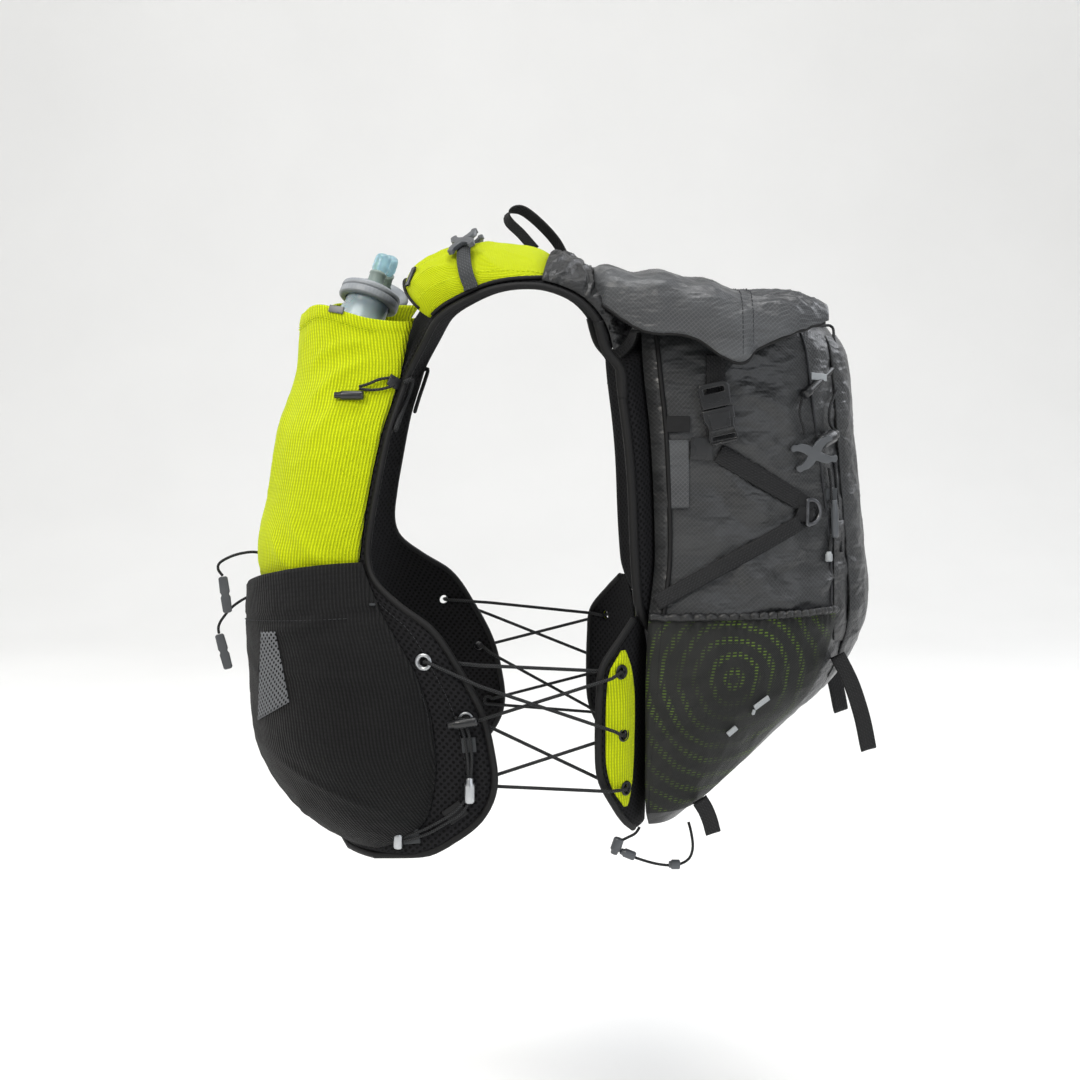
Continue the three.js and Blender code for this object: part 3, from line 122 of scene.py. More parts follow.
# place, inner x y z, outer x y z
STRAP = (
    (0, 0.34, -0.72, -0.106, 0.685, -0.59, -0.12), (1, 0.35, -0.62, -0.058, 0.7, -0.53, -0.085),
    (2, 0.36, -0.46, 0.005, 0.74, -0.445, -0.044), (3, 0.36, -0.27, 0.044, 0.76, -0.3, -0.016),
    (4, 0.36, -0.09, 0.065, 0.767, -0.13, 0.005), (5, 0.36, 0.09, 0.07, 0.767, 0.045, 0.012),
    (6, 0.367, 0.27, 0.053, 0.76, 0.21, 0.007), (7, 0.38, 0.46, 0.017, 0.75, 0.38, -0.015),
    (8, 0.387, 0.62, -0.008, 0.747, 0.5, -0.055), (9, 0.387, 0.69, -0.06, 0.747, 0.555, -0.108),
)
# drop, edge's angle
BACK_EDGE = (
    (0, 36), (0.12, 35.5), (0.3, 37), (0.52, 38), (0.575, 42), (0.61, 48), (0.8, 49), (0.93, 52),
)
# drop, front edge's angle, rear edge's angle
WING_EDGES = (
    (0.57, 38.5, 40), (0.602, 33, 44), (0.65, 26.8, 46.6), (0.7, 25.7, 47), (0.81, 25.6, 48),
    (0.855, 26.7, 48.5), (0.896, 30.3, 49.5), (0.94, 36, 50.5), (0.965, 42, 50.5),
)
# drop, front edge's angle, rear edge's angle, puff
LENS_EDGES = (
    (0.625, 32, 33.5, 0), (0.66, 28.4, 36, 1), (0.71, 27.4, 37.6, 2), (0.77, 27.3, 38, 2.2),
    (0.83, 27.8, 38, 1.8), (0.875, 30, 37.6, 0.8), (0.912, 34.5, 36, 0),
)
# drop, front edge's angle, side edge's angle, bulge, dip
FLASK_POCKET = (
    (0.02, -72, -32, 1.27, -0.04), (0.07, -71, -33, 1.16, -0.022), (0.14, -69, -33.6, 1.03, -0.004),
    (0.25, -68, -35, 0.87, 0), (0.36, -70, -36.4, 0.8, 0), (0.46, -71, -37.4, 0.85, 0),
    (0.52, -71, -38.4, 0.74, 0), (0.56, -70, -38.4, 0.4, 0), (0.58, -69, -38.6, 0.06, 0),
)
CHEST_POCKET = (
    (0.555, -73, -36.5, 0.93, 0.085), (0.6, -73.5, -29, 0.95, 0.04), (0.65, -74, -22, 0.93, 0.012),
    (0.72, -74, -17.5, 0.92, 0), (0.8, -74, -16, 0.88, 0), (0.86, -73, -16.5, 0.74, 0),
    (0.92, -70, -19, 0.5, 0), (0.96, -64, -25, 0.25, 0), (0.98, -57, -32, 0.05, 0),
)
# rise, width, depth, neck
FLASK = (
    (0, 0.3, 0.35, 0), (0.05, 0.72, 0.7, 0), (0.16, 0.97, 0.92, 0), (0.4, 1, 1, 0),
    (0.65, 0.98, 0.95, 0), (0.84, 0.85, 0.72, 0.15), (0.93, 0.6, 0.6, 1), (1, 0.5, 0.5, 1),
)
FLASK_FOOT = 0.455
FLASK_LENGTH = 176
FLASK_HALF_WIDTH = 25.5
CAP_DIAMETER = 43
CAP_HEIGHT = 11
NECK_RADIUS = CAP_DIAMETER * 0.36
VALVE_RADIUS = 6
VALVE_LENGTH = 27
# place, bulge, inner share, outer share
POUCH = (
    (1.75, 0.86, 0.04, 0.9), (2.1, 1, 0.02, 0.92), (2.8, 0.9, 0.02, 0.94), (3.6, 0.62, 0.02, 0.95),
    (4.6, 0.3, 0.03, 0.95), (5.3, 0.2, 0.05, 0.93), (5.8, 0.05, 0.1, 0.88),
)
# drop, corner's angle, reach, roundness
PACK = (
    (0.035, 45, 0.76, 2.5), (0.075, 44, 0.86, 2.6), (0.12, 43, 0.89, 2.7), (0.26, 43, 0.92, 2.7),
    (0.46, 43, 0.98, 2.6), (0.57, 39.5, 1.01, 2.5), (0.65, 38.5, 0.97, 2.4), (0.73, 38.5, 0.85, 2.4),
    (0.79, 39, 0.66, 2.3), (0.86, 39.5, 0.45, 2.2), (0.93, 41, 0.2, 2.1), (0.955, 43, 0.1, 2),
)
# drop, bulge
REAR_POCKET = (
    (0.075, 0.3), (0.12, 0.8), (0.28, 1), (0.57, 1), (0.65, 0.7), (0.73, 0.1),
)
# along, width, top, edge, thickness
LID = (
    (0, 0.83, 0.05, -0.01, 2), (0.05, 0.92, 0.05, -0.022, 3), (0.2, 1, 0.043, -0.06, 6),
    (0.42, 1.02, 0.042, -0.07, 7), (0.55, 1.03, 0.038, -0.1, 8), (0.63, 1.02, 0.03, -0.106, 7),
    (0.68, 0.99, 0.027, -0.085, 6), (0.85, 0.93, 0.012, -0.062, 6), (1, 0.8, -0.014, -0.045, 5),
)
# angle on the body and share of the drop
EYELETS = {
    "front_top": (-18.8, 0.636), "front_toggle": (-8.5, 0.736), "front_turn": (-6, 0.85),
    "wing_top": (31.4, 0.662), "wing_middle": (32.4, 0.776), "wing_bottom": (34, 0.876),
}


def mix(a, b, t):
    return a + (b - a) * t


def clamp(value, low=0.0, high=1.0):
    return min(max(value, low), high)


def smooth(value):
    t = clamp(value)
    return t * t * (3 - 2 * t)


def steps(count, low=0.0, high=1.0):
    return [mix(low, high, i / count) for i in range(count + 1)]


def between(rows, at):
    """Numbers of a table row at any place between its rows, on one smooth curve."""
    i = 0
    while i < len(rows) - 2 and at > rows[i + 1][0]:
        i += 1
    before, low, high = rows[max(i - 1, 0)], rows[i], rows[i + 1]
    after = rows[min(i + 2, len(rows) - 1)]
    span = high[0] - low[0]
    t = clamp((at - low[0]) / span)
    found = []
    for c in range(1, len(low)):
        slope_low = (high[c] - before[c]) / (high[0] - before[0]) * span
        slope_high = (after[c] - low[c]) / (after[0] - low[0]) * span
        step = high[c] - low[c]
        bend = slope_low + slope_high - 2 * step
        found.append(low[c] + t * (slope_low + t * (3 * step - 2 * slope_low - slope_high + t * bend)))
    return found


def level(drop):
    return -drop * VEST_DROP


def body_point(z, degrees, offset=0.0):
    """Point on the body at a height and an angle from the wearer's left towards the back."""
    front_width, front, back_width, back = between(BODY, -z / VEST_DROP)
    turn = radians(degrees)
    behind = sin(turn) > 0
    width = CHEST_HALF_WIDTH * (back_width if behind else front_width)
    depth = CHEST_BACK_DEPTH * back if behind else CHEST_FRONT_DEPTH * front
    n = BODY_SQUARENESS
    across = abs(cos(turn)) / width
    deep = abs(sin(turn)) / depth
    reach = (across ** n + deep ** n) ** (-1 / n)
    normal = Vector((
        copysign((reach * across) ** (n - 1) / width, cos(turn)),
        copysign((reach * deep) ** (n - 1) / depth, sin(turn)),
        0,
    )).normalized()
    spot = Vector((reach * cos(turn), CHEST_AXIS_Y + reach * sin(turn), z))
    return spot + normal * offset


def body_normal(z, degrees):
    return (body_point(z, degrees, 1) - body_point(z, degrees)).normalized()


def strap_surface(place, across):
    in_x, in_y, in_z, out_x, out_y, out_z = between(STRAP, place)
    inner = Vector((in_x * CHEST_HALF_WIDTH, in_y * CHEST_BACK_DEPTH, in_z * VEST_DROP))
    outer = Vector((out_x * CHEST_HALF_WIDTH, out_y * CHEST_BACK_DEPTH, out_z * VEST_DROP))
    return inner.lerp(outer, across) + UP * (8 * across * (1 - across))


def strap_normal(place, across):
    step = 0.05
    along = strap_surface(place + step, across) - strap_surface(place - step, across)
    side = strap_surface(place, across + step) - strap_surface(place, across - step)
    return side.cross(along).normalized()


def strap_point(place, across, offset=0.0):
    return strap_surface(place, across) + strap_normal(place, across) * offset


def pack_corner(z):
    corner_angle, reach, roundness = between(PACK, -z / VEST_DROP)
    return body_point(z, corner_angle, PACK_FRONT), PACK_FACE_Y + reach * PACK_DEPTH, roundness


def pack_side(z, share, offset=0.0):
    """Point on the bag's side from its front corner (0) to the middle of its rear (1)."""
    corner, rear, roundness = pack_corner(z)
    turn = share * pi / 2
    length = rear - corner.y
    x = corner.x * max(cos(turn), 0) ** (2 / roundness)
    y = corner.y + length * sin(turn) ** (2 / roundness)
    normal = Vector((
        (x / corner.x) ** (roundness - 1) / corner.x,
        ((y - corner.y) / length) ** (roundness - 1) / length,
        0,
    )).normalized()
    return Vector((x, y, z)) + normal * offset


def pack_at(y, z, offset=0.0):
    corner, rear, roundness = pack_corner(z)
    t = clamp((y - corner.y) / (rear - corner.y))
    return pack_side(z, asin(t ** (roundness / 2)) * 2 / pi, offset)


def pack_normal(y, z):
    across = pack_at(y, z, 1) - pack_at(y, z)
    rise = pack_at(y, z + 2) - pack_at(y, z - 2)
    return (across - rise * (across.dot(rise) / rise.length_squared)).normalized()


def pocket_profile(u, fullness):
    return max(1 - abs(2 * u - 1) ** fullness, 0) ** (1 / fullness)


def pocket_point(rows, drop, u, depth, fullness, inset=0.0):
    inner, outer, bulge, dip = between(rows, drop)
    trim = inset / KNIT * 0.6
    angle = mix(inner + trim, outer - trim, u)
    z = (-drop + dip * u) * VEST_DROP
    way = body_normal(z, angle).lerp(POCKET_FORWARD, FORWARD_LEAN).normalized()
    rise = max(bulge * depth - inset, 0.2) * pocket_profile(u ** 0.72, fullness)
    return body_point(z, angle, POCKET_BASE) + way * rise


def flask_centre(drop):
    inner, outer, bulge = between(FLASK_POCKET, drop)[:3]
    middle = (inner + outer) / 2
    z = level(drop)
    way = body_normal(z, middle).lerp(POCKET_FORWARD, FORWARD_LEAN).normalized()
    return body_point(z, middle, POCKET_BASE) + way * (bulge * FLASK_POCKET_DEPTH * 0.49)


FLASK_TOP = FLASK_FOOT - FLASK_LENGTH / VEST_DROP
FLASK_AXIS = (flask_centre(FLASK_TOP) - flask_centre(FLASK_TOP + 0.16)).normalized()
FLASK_SIDE = FLASK_AXIS.cross(Vector((0, 1, 0))).normalized()
CAP_SEAT = flask_centre(FLASK_TOP) + FLASK_AXIS * (2 + CLEARANCE - CAP_HEIGHT)
VALVE_SEAT = CAP_SEAT + FLASK_AXIS * (CAP_HEIGHT + CLEARANCE)


def placed(name, data):
    """Object for a mesh, a light or a camera, linked into the scene."""
    made = bpy.data.objects.new(name, data)
    bpy.context.scene.collection.objects.link(made)
    return made


def mesh_object(name, spots, faces, uvs):
    """Object from points in millimetres, faces and one uv per point."""
    data = bpy.data.meshes.new(name)
    data.from_pydata([spot * MM for spot in spots], [], faces)
    layer = data.uv_layers.new(name="cloth")
    for loop in data.loops:
        layer.data[loop.index].uv = uvs[loop.vertex_index]
    data.validate()
    made = placed(name, data)
    edit = bmesh.new()
    edit.from_mesh(data)
    bmesh.ops.remove_doubles(edit, verts=edit.verts, dist=1e-6)
    bmesh.ops.recalc_face_normals(edit, faces=edit.faces)
    edit.to_mesh(data)
    edit.free()
    data.shade_smooth()
    return made


def run_lengths(points):
    """Length of a route up to each of its points."""
    return list(accumulate(((b - a).length for a, b in zip(points, points[1:])), initial=0.0))


def grid_lengths(grid):
    """Arc lengths across and along a grid of points, row by row."""
    middle = len(grid[0]) // 2
    lengths = []
    for row, down in zip(grid, run_lengths([row[middle] for row in grid])):
        across = run_lengths(row)
        half = across[-1] / 2
        lengths.append([((x - half) * MM, down * MM) for x in across])
    return lengths


def ring_faces(rings, sides, closed=False):
    """Quads between neighbouring rings of points; closed joins the last ring to the first."""
    faces = []
    for i in range(rings if closed else rings - 1):
        here, after = i * sides, (i + 1) % rings * sides
        for s in range(sides):
            t = (s + 1) % sides
            faces.append((here + s, here + t, after + t, after + s))
    return faces


def end_faces(rings, sides):
    return [tuple(range(sides))[::-1], tuple((rings - 1) * sides + s for s in range(sides))]


def sheet(name, outer, inner):
    """Cloth wall between an outer and an inner grid of points, closed round its edges."""
    rows, columns = len(outer), len(outer[0])
    spots = [p for row in outer for p in row] + [p for row in inner for p in row]
    flat = [p for row in grid_lengths(outer) for p in row]
    at = lambda layer, r, c: (layer * rows + r) * columns + c
    faces = []
    for r in range(rows - 1):
        for c in range(columns - 1):
            faces.append((at(0, r, c), at(0, r, c + 1), at(0, r + 1, c + 1), at(0, r + 1, c)))
            faces.append((at(1, r, c), at(1, r + 1, c), at(1, r + 1, c + 1), at(1, r, c + 1)))
        faces.append((at(0, r, 0), at(0, r + 1, 0), at(1, r + 1, 0), at(1, r, 0)))
        last = columns - 1
        faces.append((at(0, r, last), at(1, r, last), at(1, r + 1, last), at(0, r + 1, last)))
    for c in range(columns - 1):
        last = rows - 1
        faces.append((at(0, 0, c), at(1, 0, c), at(1, 0, c + 1), at(0, 0, c + 1)))
        faces.append((at(0, last, c), at(0, last, c + 1), at(1, last, c + 1), at(1, last, c)))
    return mesh_object(name, spots, faces, flat + flat)


def grid_normals(grid):
    normals = []
    for r, row in enumerate(grid):
        above, below = grid[max(r - 1, 0)], grid[min(r + 1, len(grid) - 1)]
        found = []
        for c in range(len(row)):
            side = row[min(c + 1, len(row) - 1)] - row[max(c - 1, 0)]
            found.append(side.cross(below[c] - above[c]).normalized())
        normals.append(found)
    return normals


def padded_sheet(name, surface, rows, columns, thickness, relief=None, roundness=1.6):
    """Padded panel over a surface(v, u); its edges are rounded and relief(u, v, point) lifts its face."""
    base = [[surface(v, u, 0) for u in columns] for v in rows]
    top = [[surface(v, u, thickness) for u in columns] for v in rows]
    lengths = grid_lengths(base)
    height, outer = lengths[-1][0][1] / MM, []
    for v, low, high, flat in zip(rows, base, top, lengths):
        width = (flat[-1][0] - flat[0][0]) / MM
        down = flat[0][1] / MM
        lifted = []
        for u, a, b, place in zip(columns, low, high, flat):
            edge = min(place[0] / MM + width / 2, width / 2 - place[0] / MM, down, height - down)
            t = clamp(edge / (thickness * roundness))
            share = 0.35 + 0.65 * sqrt(max(1 - (1 - t) ** 2, 0))
            extra = relief(u, v, b) if relief else 0
            lifted.append(a + (b - a) * share + (b - a).normalized() * extra * t)
        outer.append(lifted)
    return sheet(name, outer, base)


def tube(name, route, diameter, sides=12, closed=False, squash=1.0):
    """Round or flattened tube along a list of points."""
    count = len(route)
    spots, uvs = [], []
    normal, run = None, 0.0
    for i, here in enumerate(route):
        before = route[i - 1] if closed or i else here
        after = route[(i + 1) % count] if closed or i < count - 1 else here
        along = (after - before).normalized()
        if normal is None:
            normal = along.orthogonal()
        normal = (normal - along * normal.dot(along)).normalized()
        side = along.cross(normal)
        run += (here - route[i - 1]).length if i else 0
        for s in range(sides):
            turn = 2 * pi * s / sides
            across, rise = cos(turn) * diameter / 2, sin(turn) * diameter / 2 * squash
            spots.append(here + side * across + normal * rise)
            uvs.append((s / sides * pi * diameter * MM, run * MM))
    ends = [] if closed else end_faces(count, sides)
    return mesh_object(name, spots, ring_faces(count, sides, closed) + ends, uvs)


def spline(p0, p1, p2, p3, t):
    """Point between the two middle ones of four, on the smooth curve through them."""
    return 0.5 * (
        2 * p1 + (p2 - p0) * t + (2 * p0 - 5 * p1 + 4 * p2 - p3) * t * t
        + (3 * p1 - p0 - 3 * p2 + p3) * t * t * t)


def curve_route(points, count):
    """Evenly placed points on a smooth curve through a list."""
    dense = []
    for i in range(len(points) - 1):
        four = points[max(i - 1, 0)], points[i], points[i + 1], points[min(i + 2, len(points) - 1)]
        dense += [spline(*four, t) for t in steps(12)[:-1]]
    dense.append(points[-1].copy())
    lengths = run_lengths(dense)
    found, i = [], 0
    for at in steps(count, 0, lengths[-1]):
        while i < len(dense) - 2 and lengths[i + 1] < at:
            i += 1
        t = (at - lengths[i]) / max(lengths[i + 1] - lengths[i], 1e-9)
        found.append(dense[i].lerp(dense[i + 1], clamp(t)))
    return found


def band(name, path, width, thickness=WEBBING):
    """Woven band along a path of (point, normal), lying on the point, with soft edges."""
    profile = ((-0.5, 0.3), (-0.47, 0.03), (-0.3, 0), (0, 0), (0.3, 0), (0.47, 0.03), (0.5, 0.3), (0.5, 0.7),
               (0.47, 0.97), (0.3, 1), (0, 1), (-0.3, 1), (-0.47, 0.97), (-0.5, 0.7))
    spots, uvs, run = [], [], 0.0
    for i, (here, normal) in enumerate(path):
        along = (path[min(i + 1, len(path) - 1)][0] - path[max(i - 1, 0)][0]).normalized()
        side = along.cross(normal).normalized()
        face = side.cross(along).normalized()
        run += (here - path[i - 1][0]).length if i else 0
        for x, y in profile:
            spots.append(here + side * (x * width) + face * (y * thickness))
            uvs.append((x * width * MM, run * MM))
    size = len(path), len(profile)
    return mesh_object(name, spots, ring_faces(*size) + end_faces(*size), uvs)


def frame_matrix(spot, along, face):
    """Placing matrix with X along one direction and Z along another."""
    x = along.normalized()
    z = (face - x * face.dot(x)).normalized()
    y = z.cross(x)
    return Matrix((
        (x.x, y.x, z.x, spot.x), (x.y, y.y, z.y, spot.y), (x.z, y.z, z.z, spot.z), (0, 0, 0, 1)))


def lathe(name, profile, spot, axis, side, segments=48, ribs=0, rib_depth=0.0):
    """Turned piece: profile rows are radius and height, and a third value where the ribs reach."""
    place = frame_matrix(spot, side, axis)
    spots, uvs = [], []
    for radius, height, *ribbed in profile:
        depth = rib_depth if ribbed else 0
        for s in range(segments):
            turn = 2 * pi * s / segments
            r = radius - depth * (0.5 + 0.5 * cos(ribs * turn))
            spots.append(place @ Vector((cos(turn) * r, sin(turn) * r, height)))
            uvs.append((turn * radius * MM, height * MM))
    return mesh_object(name, spots, ring_faces(len(profile), segments), uvs)


def plate(name, outline, thickness, matrix, bevel=0.6, holes=()):
    """Moulded plate with rounded edges from an outline in its own plane."""
    edit = bmesh.new()
    loops = []
    for points in (outline, *holes):
        verts = [edit.verts.new((x, y, -thickness / 2)) for x, y in points]
        loops += [edit.edges.new((verts[i], verts[(i + 1) % len(verts)])) for i in range(len(verts))]
    bmesh.ops.triangle_fill(edit, use_beauty=True, use_dissolve=False, edges=loops)
    lifted = bmesh.ops.extrude_face_region(edit, geom=list(edit.faces))
    raised = [g for g in lifted["geom"] if isinstance(g, bmesh.types.BMVert)]
    bmesh.ops.translate(edit, verts=raised, vec=(0, 0, thickness))
    bmesh.ops.recalc_face_normals(edit, faces=edit.faces)
    sharp = [e for e in edit.edges if len(e.link_faces) == 2 and e.calc_face_angle(0) > 0.6]
    bmesh.ops.bevel(
        edit, geom=sharp, offset=bevel, segments=3, affect="EDGES", profile=0.6, clamp_overlap=True)
    bmesh.ops.transform(edit, matrix=Matrix.Scale(MM, 4) @ matrix, verts=edit.verts)
    bmesh.ops.recalc_face_normals(edit, faces=edit.faces)
    data = bpy.data.meshes.new(name)
    edit.to_mesh(data)
    edit.free()
    data.shade_smooth()
    return placed(name, data)


def joined(name, pieces):
    """Pieces made into one mesh."""
    edit = bmesh.new()
    for piece in pieces:
        edit.from_mesh(piece.data)
        bpy.data.objects.remove(piece)
    data = bpy.data.meshes.new(name)
    edit.to_mesh(data)
    edit.free()
    return placed(name, data)


def bored(piece, holes):
    """Round holes through a panel for its eyelets, each at a spot and along a normal."""
    profile = ((0.001, -9), (EYELET_BORE, -9), (EYELET_BORE, 9), (0.001, 9))
    cutter = joined("bores", [
        lathe("bore", profile, spot, normal, normal.orthogonal(), 24) for spot, normal in holes])
    cut = piece.modifiers.new("bores", "BOOLEAN")
    cut.object = cutter
    cut.operation = "DIFFERENCE"
    cut.solver = "EXACT"
    apply_modifiers(piece)
    bpy.data.objects.remove(cutter)


def apply_modifiers(piece):
    shaped = bpy.data.meshes.new_from_object(piece.evaluated_get(bpy.context.evaluated_depsgraph_get()))
    piece.modifiers.clear()
    piece.data = shaped


MATERIALS = {}


def finish_piece(piece, material, nodes=()):
    piece.data.materials.clear()
    piece.data.materials.append(MATERIALS[material])
    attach(piece, "root")
    if nodes:
        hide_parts(*nodes)
    return piece


def both_sides(piece, material, stem=None):
    """Finishes the left piece and adds the same piece for the wearer's right side."""
    name = piece.name
    piece.name = f"{name}_left"
    twin_data = piece.data.copy()
    twin_data.transform(Matrix.Scale(-1, 4, ACROSS))
    twin_data.flip_normals()
    twin = placed(f"{name}_right", twin_data)
    finish_piece(piece, material, (f"{stem}_left",) if stem else ())
    finish_piece(twin, material, (f"{stem}_right",) if stem else ())
    return piece, twin


def held_cloth(pieces, rests_on):
    """Reads the lengths along the grid that each made sheet keeps in its uvs, and leaves them unused."""
    for piece, under in zip(pieces, rests_on):
        spots = [loop.uv for loop in piece.data.uv_layers["cloth"].data]


def pair(stem):
    return f"{stem}_left", f"{stem}_right"


def srgb(code):
    """Linear colour with alpha from a hex code."""
    channels = [int(code[i:i + 2], 16) / 255 for i in (1, 3, 5)]
    return (*[c / 12.92 if c <= 0.04045 else ((c + 0.055) / 1.055) ** 2.4 for c in channels], 1)


MATH, NOISE, SPREAD, BLEND, BUMP, WAVES, LENGTHS = (
    "ShaderNodeMath", "ShaderNodeTexNoise", "ShaderNodeMapRange", "ShaderNodeMix", "ShaderNodeBump",
    "ShaderNodeTexWave", "ShaderNodeUVMap")
# Scale of the wave texture for a pitch of one millimetre along an axis, and along a diagonal
ONE_MM = 0.314159 / MM
ONE_MM_SLANTED = 2 * ONE_MM


def node(tree, kind, inputs=None, out=0, **settings):
    """Adds one node with its settings, sets or links its inputs, and gives back one of its outputs.
    A colour is given as its hex code, or as linear values where it is a setting of the scene."""
    made = tree.nodes.new(kind)
    for key, value in settings.items():
        setattr(made, key, value)
    for key, value in (inputs or {}).items():
        if isinstance(value, bpy.types.NodeSocket):
            tree.links.new(value, made.inputs[key])
        else:
            made.inputs[key].default_value = srgb(value) if isinstance(value, str) else value
    return made.outputs[out]


def begin(name, **surface):
    """New material with its surface values, its node tree and its place on the vest."""
    material = bpy.data.materials.new(name)
    material.use_nodes = True
    tree = material.node_tree
    for socket, value in surface.items():
        tree.nodes["Principled BSDF"].inputs[socket.replace("_", " ")].default_value = value
    return material, tree, node(tree, "ShaderNodeTexCoord", out="Object")


def crossed_bands(tree, cloth, pitch, operation="MULTIPLY"):
    """Two sets of slanting bands over the cloth that cross in diamonds."""
    mirrored = node(tree, "ShaderNodeMapping", {"Vector": cloth, "Scale": (-1, 1, 1)})
    lean, fall = [
        node(tree, WAVES, {"Vector": side, "Scale": ONE_MM_SLANTED / pitch}, 1, bands_direction="DIAGONAL")
        for side in (cloth, mirrored)]
    return node(tree, MATH, {0: lean, 1: fall}, operation=operation)


def end(material, colour, roughness, normal):
    tree = material.node_tree
    for socket, value in (("Base Color", colour), ("Roughness", roughness), ("Normal", normal)):
        tree.links.new(value, tree.nodes["Principled BSDF"].inputs[socket])
    return material


def ribbed_knit(name, light, dark, thread, pitch):
    # Warp-knitted stretch fabric, heat-set flat: rows of small loops make fine ribs, and painted shade
    # darkens the colour in the grooves between them, so the eye sees upright dotted lines and a soft, matt
    # cloth
    material, tree, place = begin(name, Specular_IOR_Level=0.18, Sheen_Weight=0.03)
    cloth = node(tree, LENGTHS, uv_map="cloth")
    rib = node(
        tree, WAVES, {"Vector": cloth, "Scale": ONE_MM / pitch, "Distortion": 0.3}, 1, bands_direction="X")
    loops = node(tree, WAVES, {"Vector": cloth, "Scale": ONE_MM / pitch}, 1, bands_direction="Y")
    open_loops = node(tree, SPREAD, {"Value": loops, "From Min": 0.1, "From Max": 0.6, "To Min": 0.72})
    stitch_relief_and_groove_shade = node(tree, MATH, {0: rib, 1: open_loops}, operation="MULTIPLY")
    cloudy = node(tree, NOISE, {"Vector": place, "Scale": 16, "Detail": 3})
    base = node(tree, BLEND, {0: cloudy, 6: light, 7: thread}, 2, data_type="RGBA")
    # painted shade: the colour drops to the dark tone where the stitch mask is low, in the grooves between
    # the ribs
    colour = node(tree, BLEND, {0: stitch_relief_and_groove_shade, 6: dark, 7: base}, 2, data_type="RGBA")
    creases = node(tree, NOISE, {"Vector": place, "Scale": 38, "Detail": 5, "Roughness": 0.6})
    pulled = node(tree, BUMP, {"Height": creases, "Distance": 0.006, "Strength": 0.5})
    fuzz = node(tree, NOISE, {"Vector": place, "Scale": 2600, "Detail": 2})
    soft = node(tree, BUMP, {"Height": fuzz, "Distance": 0.0003, "Strength": 0.3, "Normal": pulled})
    knitted = node(tree, BUMP, {"Height": stitch_relief_and_groove_shade, "Distance": 0.0007, "Strength": 0.8, "Normal": soft})
    rough = node(tree, SPREAD, {"Value": cloudy, "To Min": 0.66, "To Max": 0.9})
    return end(material, colour, rough, knitted)


def spacer_mesh(name, light, dark, pitch):
    # Three-layer spacer mesh, knitted with open holes: paler yarn round diamonds of painted shade, coloured
    # near black where the depth between the yarns would lie in shade; both of its faces stay matt
    material, tree, place = begin(name, Specular_IOR_Level=0.15)
    cloth = node(tree, LENGTHS, uv_map="cloth")
    both = crossed_bands(tree, cloth, pitch)
    hole = node(
        tree, SPREAD, {"Value": both, "From Min": 0.28, "From Max": 0.5}, interpolation_type="SMOOTHSTEP")
    grain = node(tree, NOISE, {"Vector": place, "Scale": 900, "Detail": 3})
    yarn = node(tree, BLEND, {0: grain, 6: dark, 7: light}, 2, data_type="RGBA")
    yarn_lit = node(tree, BLEND, {0: 0.7, 6: yarn, 7: light}, 2, data_type="RGBA")
    # painted shade: the holes take the near-black tone, standing in for the shade deep between the yarns
    colour = node(tree, BLEND, {0: hole, 6: yarn_lit, 7: dark}, 2, data_type="RGBA")
    height = node(tree, MATH, {0: grain, 1: 0.25, 2: hole}, operation="MULTIPLY_ADD")
    pressed = node(tree, BUMP, {"Height": height, "Distance": 0.0009, "Strength": 0.9}, invert=True)
    rough = node(tree, SPREAD, {"Value": grain, "To Min": 0.7, "To Max": 0.95})
    return end(material, colour, rough, pressed)


def ripstop(name, light, dark, line, crinkle, gloss):
    # Coated nylon ripstop, calendered: a thicker thread every few millimetres shows as a small diamond grid,
    # and crisp creases break its dull shine, with painted highlight on the swells and painted shade in the
    # hollows
    material, tree, place = begin(name, Specular_IOR_Level=0.5)
    cloth = node(tree, LENGTHS, uv_map="cloth")
    crossed = crossed_bands(tree, cloth, 3.2, "MAXIMUM")
    grid = node(tree, SPREAD, {"Value": crossed, "From Min": 0.88}, interpolation_type="SMOOTHSTEP")
    sloped = node(
        tree, "ShaderNodeMapping", {"Vector": place, "Rotation": (0.6, 0, 0), "Scale": (1, 0.55, 1.6)})
    broad = node(tree, NOISE, {"Vector": sloped, "Scale": 15, "Detail": 4, "Roughness": 0.6})
    ridges = node(
        tree, NOISE, {"Vector": sloped, "Scale": 26, "Detail": 5, "Roughness": 0.5},
        noise_type="RIDGED_MULTIFRACTAL")
    # painted highlight and painted shade: the broad noise that swells the bump also lightens the swells and
    # darkens the hollows
    shade = node(tree, SPREAD, {"Value": broad, "From Min": 0.3, "From Max": 0.7})
    base = node(tree, BLEND, {0: shade, 6: dark, 7: light}, 2, data_type="RGBA")
    threads = node(tree, MATH, {0: grid, 1: 0.4}, operation="MULTIPLY")
    colour = node(tree, BLEND, {0: threads, 6: base, 7: line}, 2, data_type="RGBA")
    swell = node(tree, BUMP, {"Height": broad, "Distance": 0.014, "Strength": crinkle})
    creased = node(tree, BUMP, {"Height": ridges, "Distance": 0.0012, "Strength": crinkle, "Normal": swell})
    woven = node(tree, BUMP, {"Height": grid, "Distance": 0.0003, "Strength": 0.5, "Normal": creased})
    rough = node(tree, SPREAD, {"Value": broad, "To Min": gloss - 0.08, "To Max": gloss + 0.12})
    return end(material, colour, rough, woven)


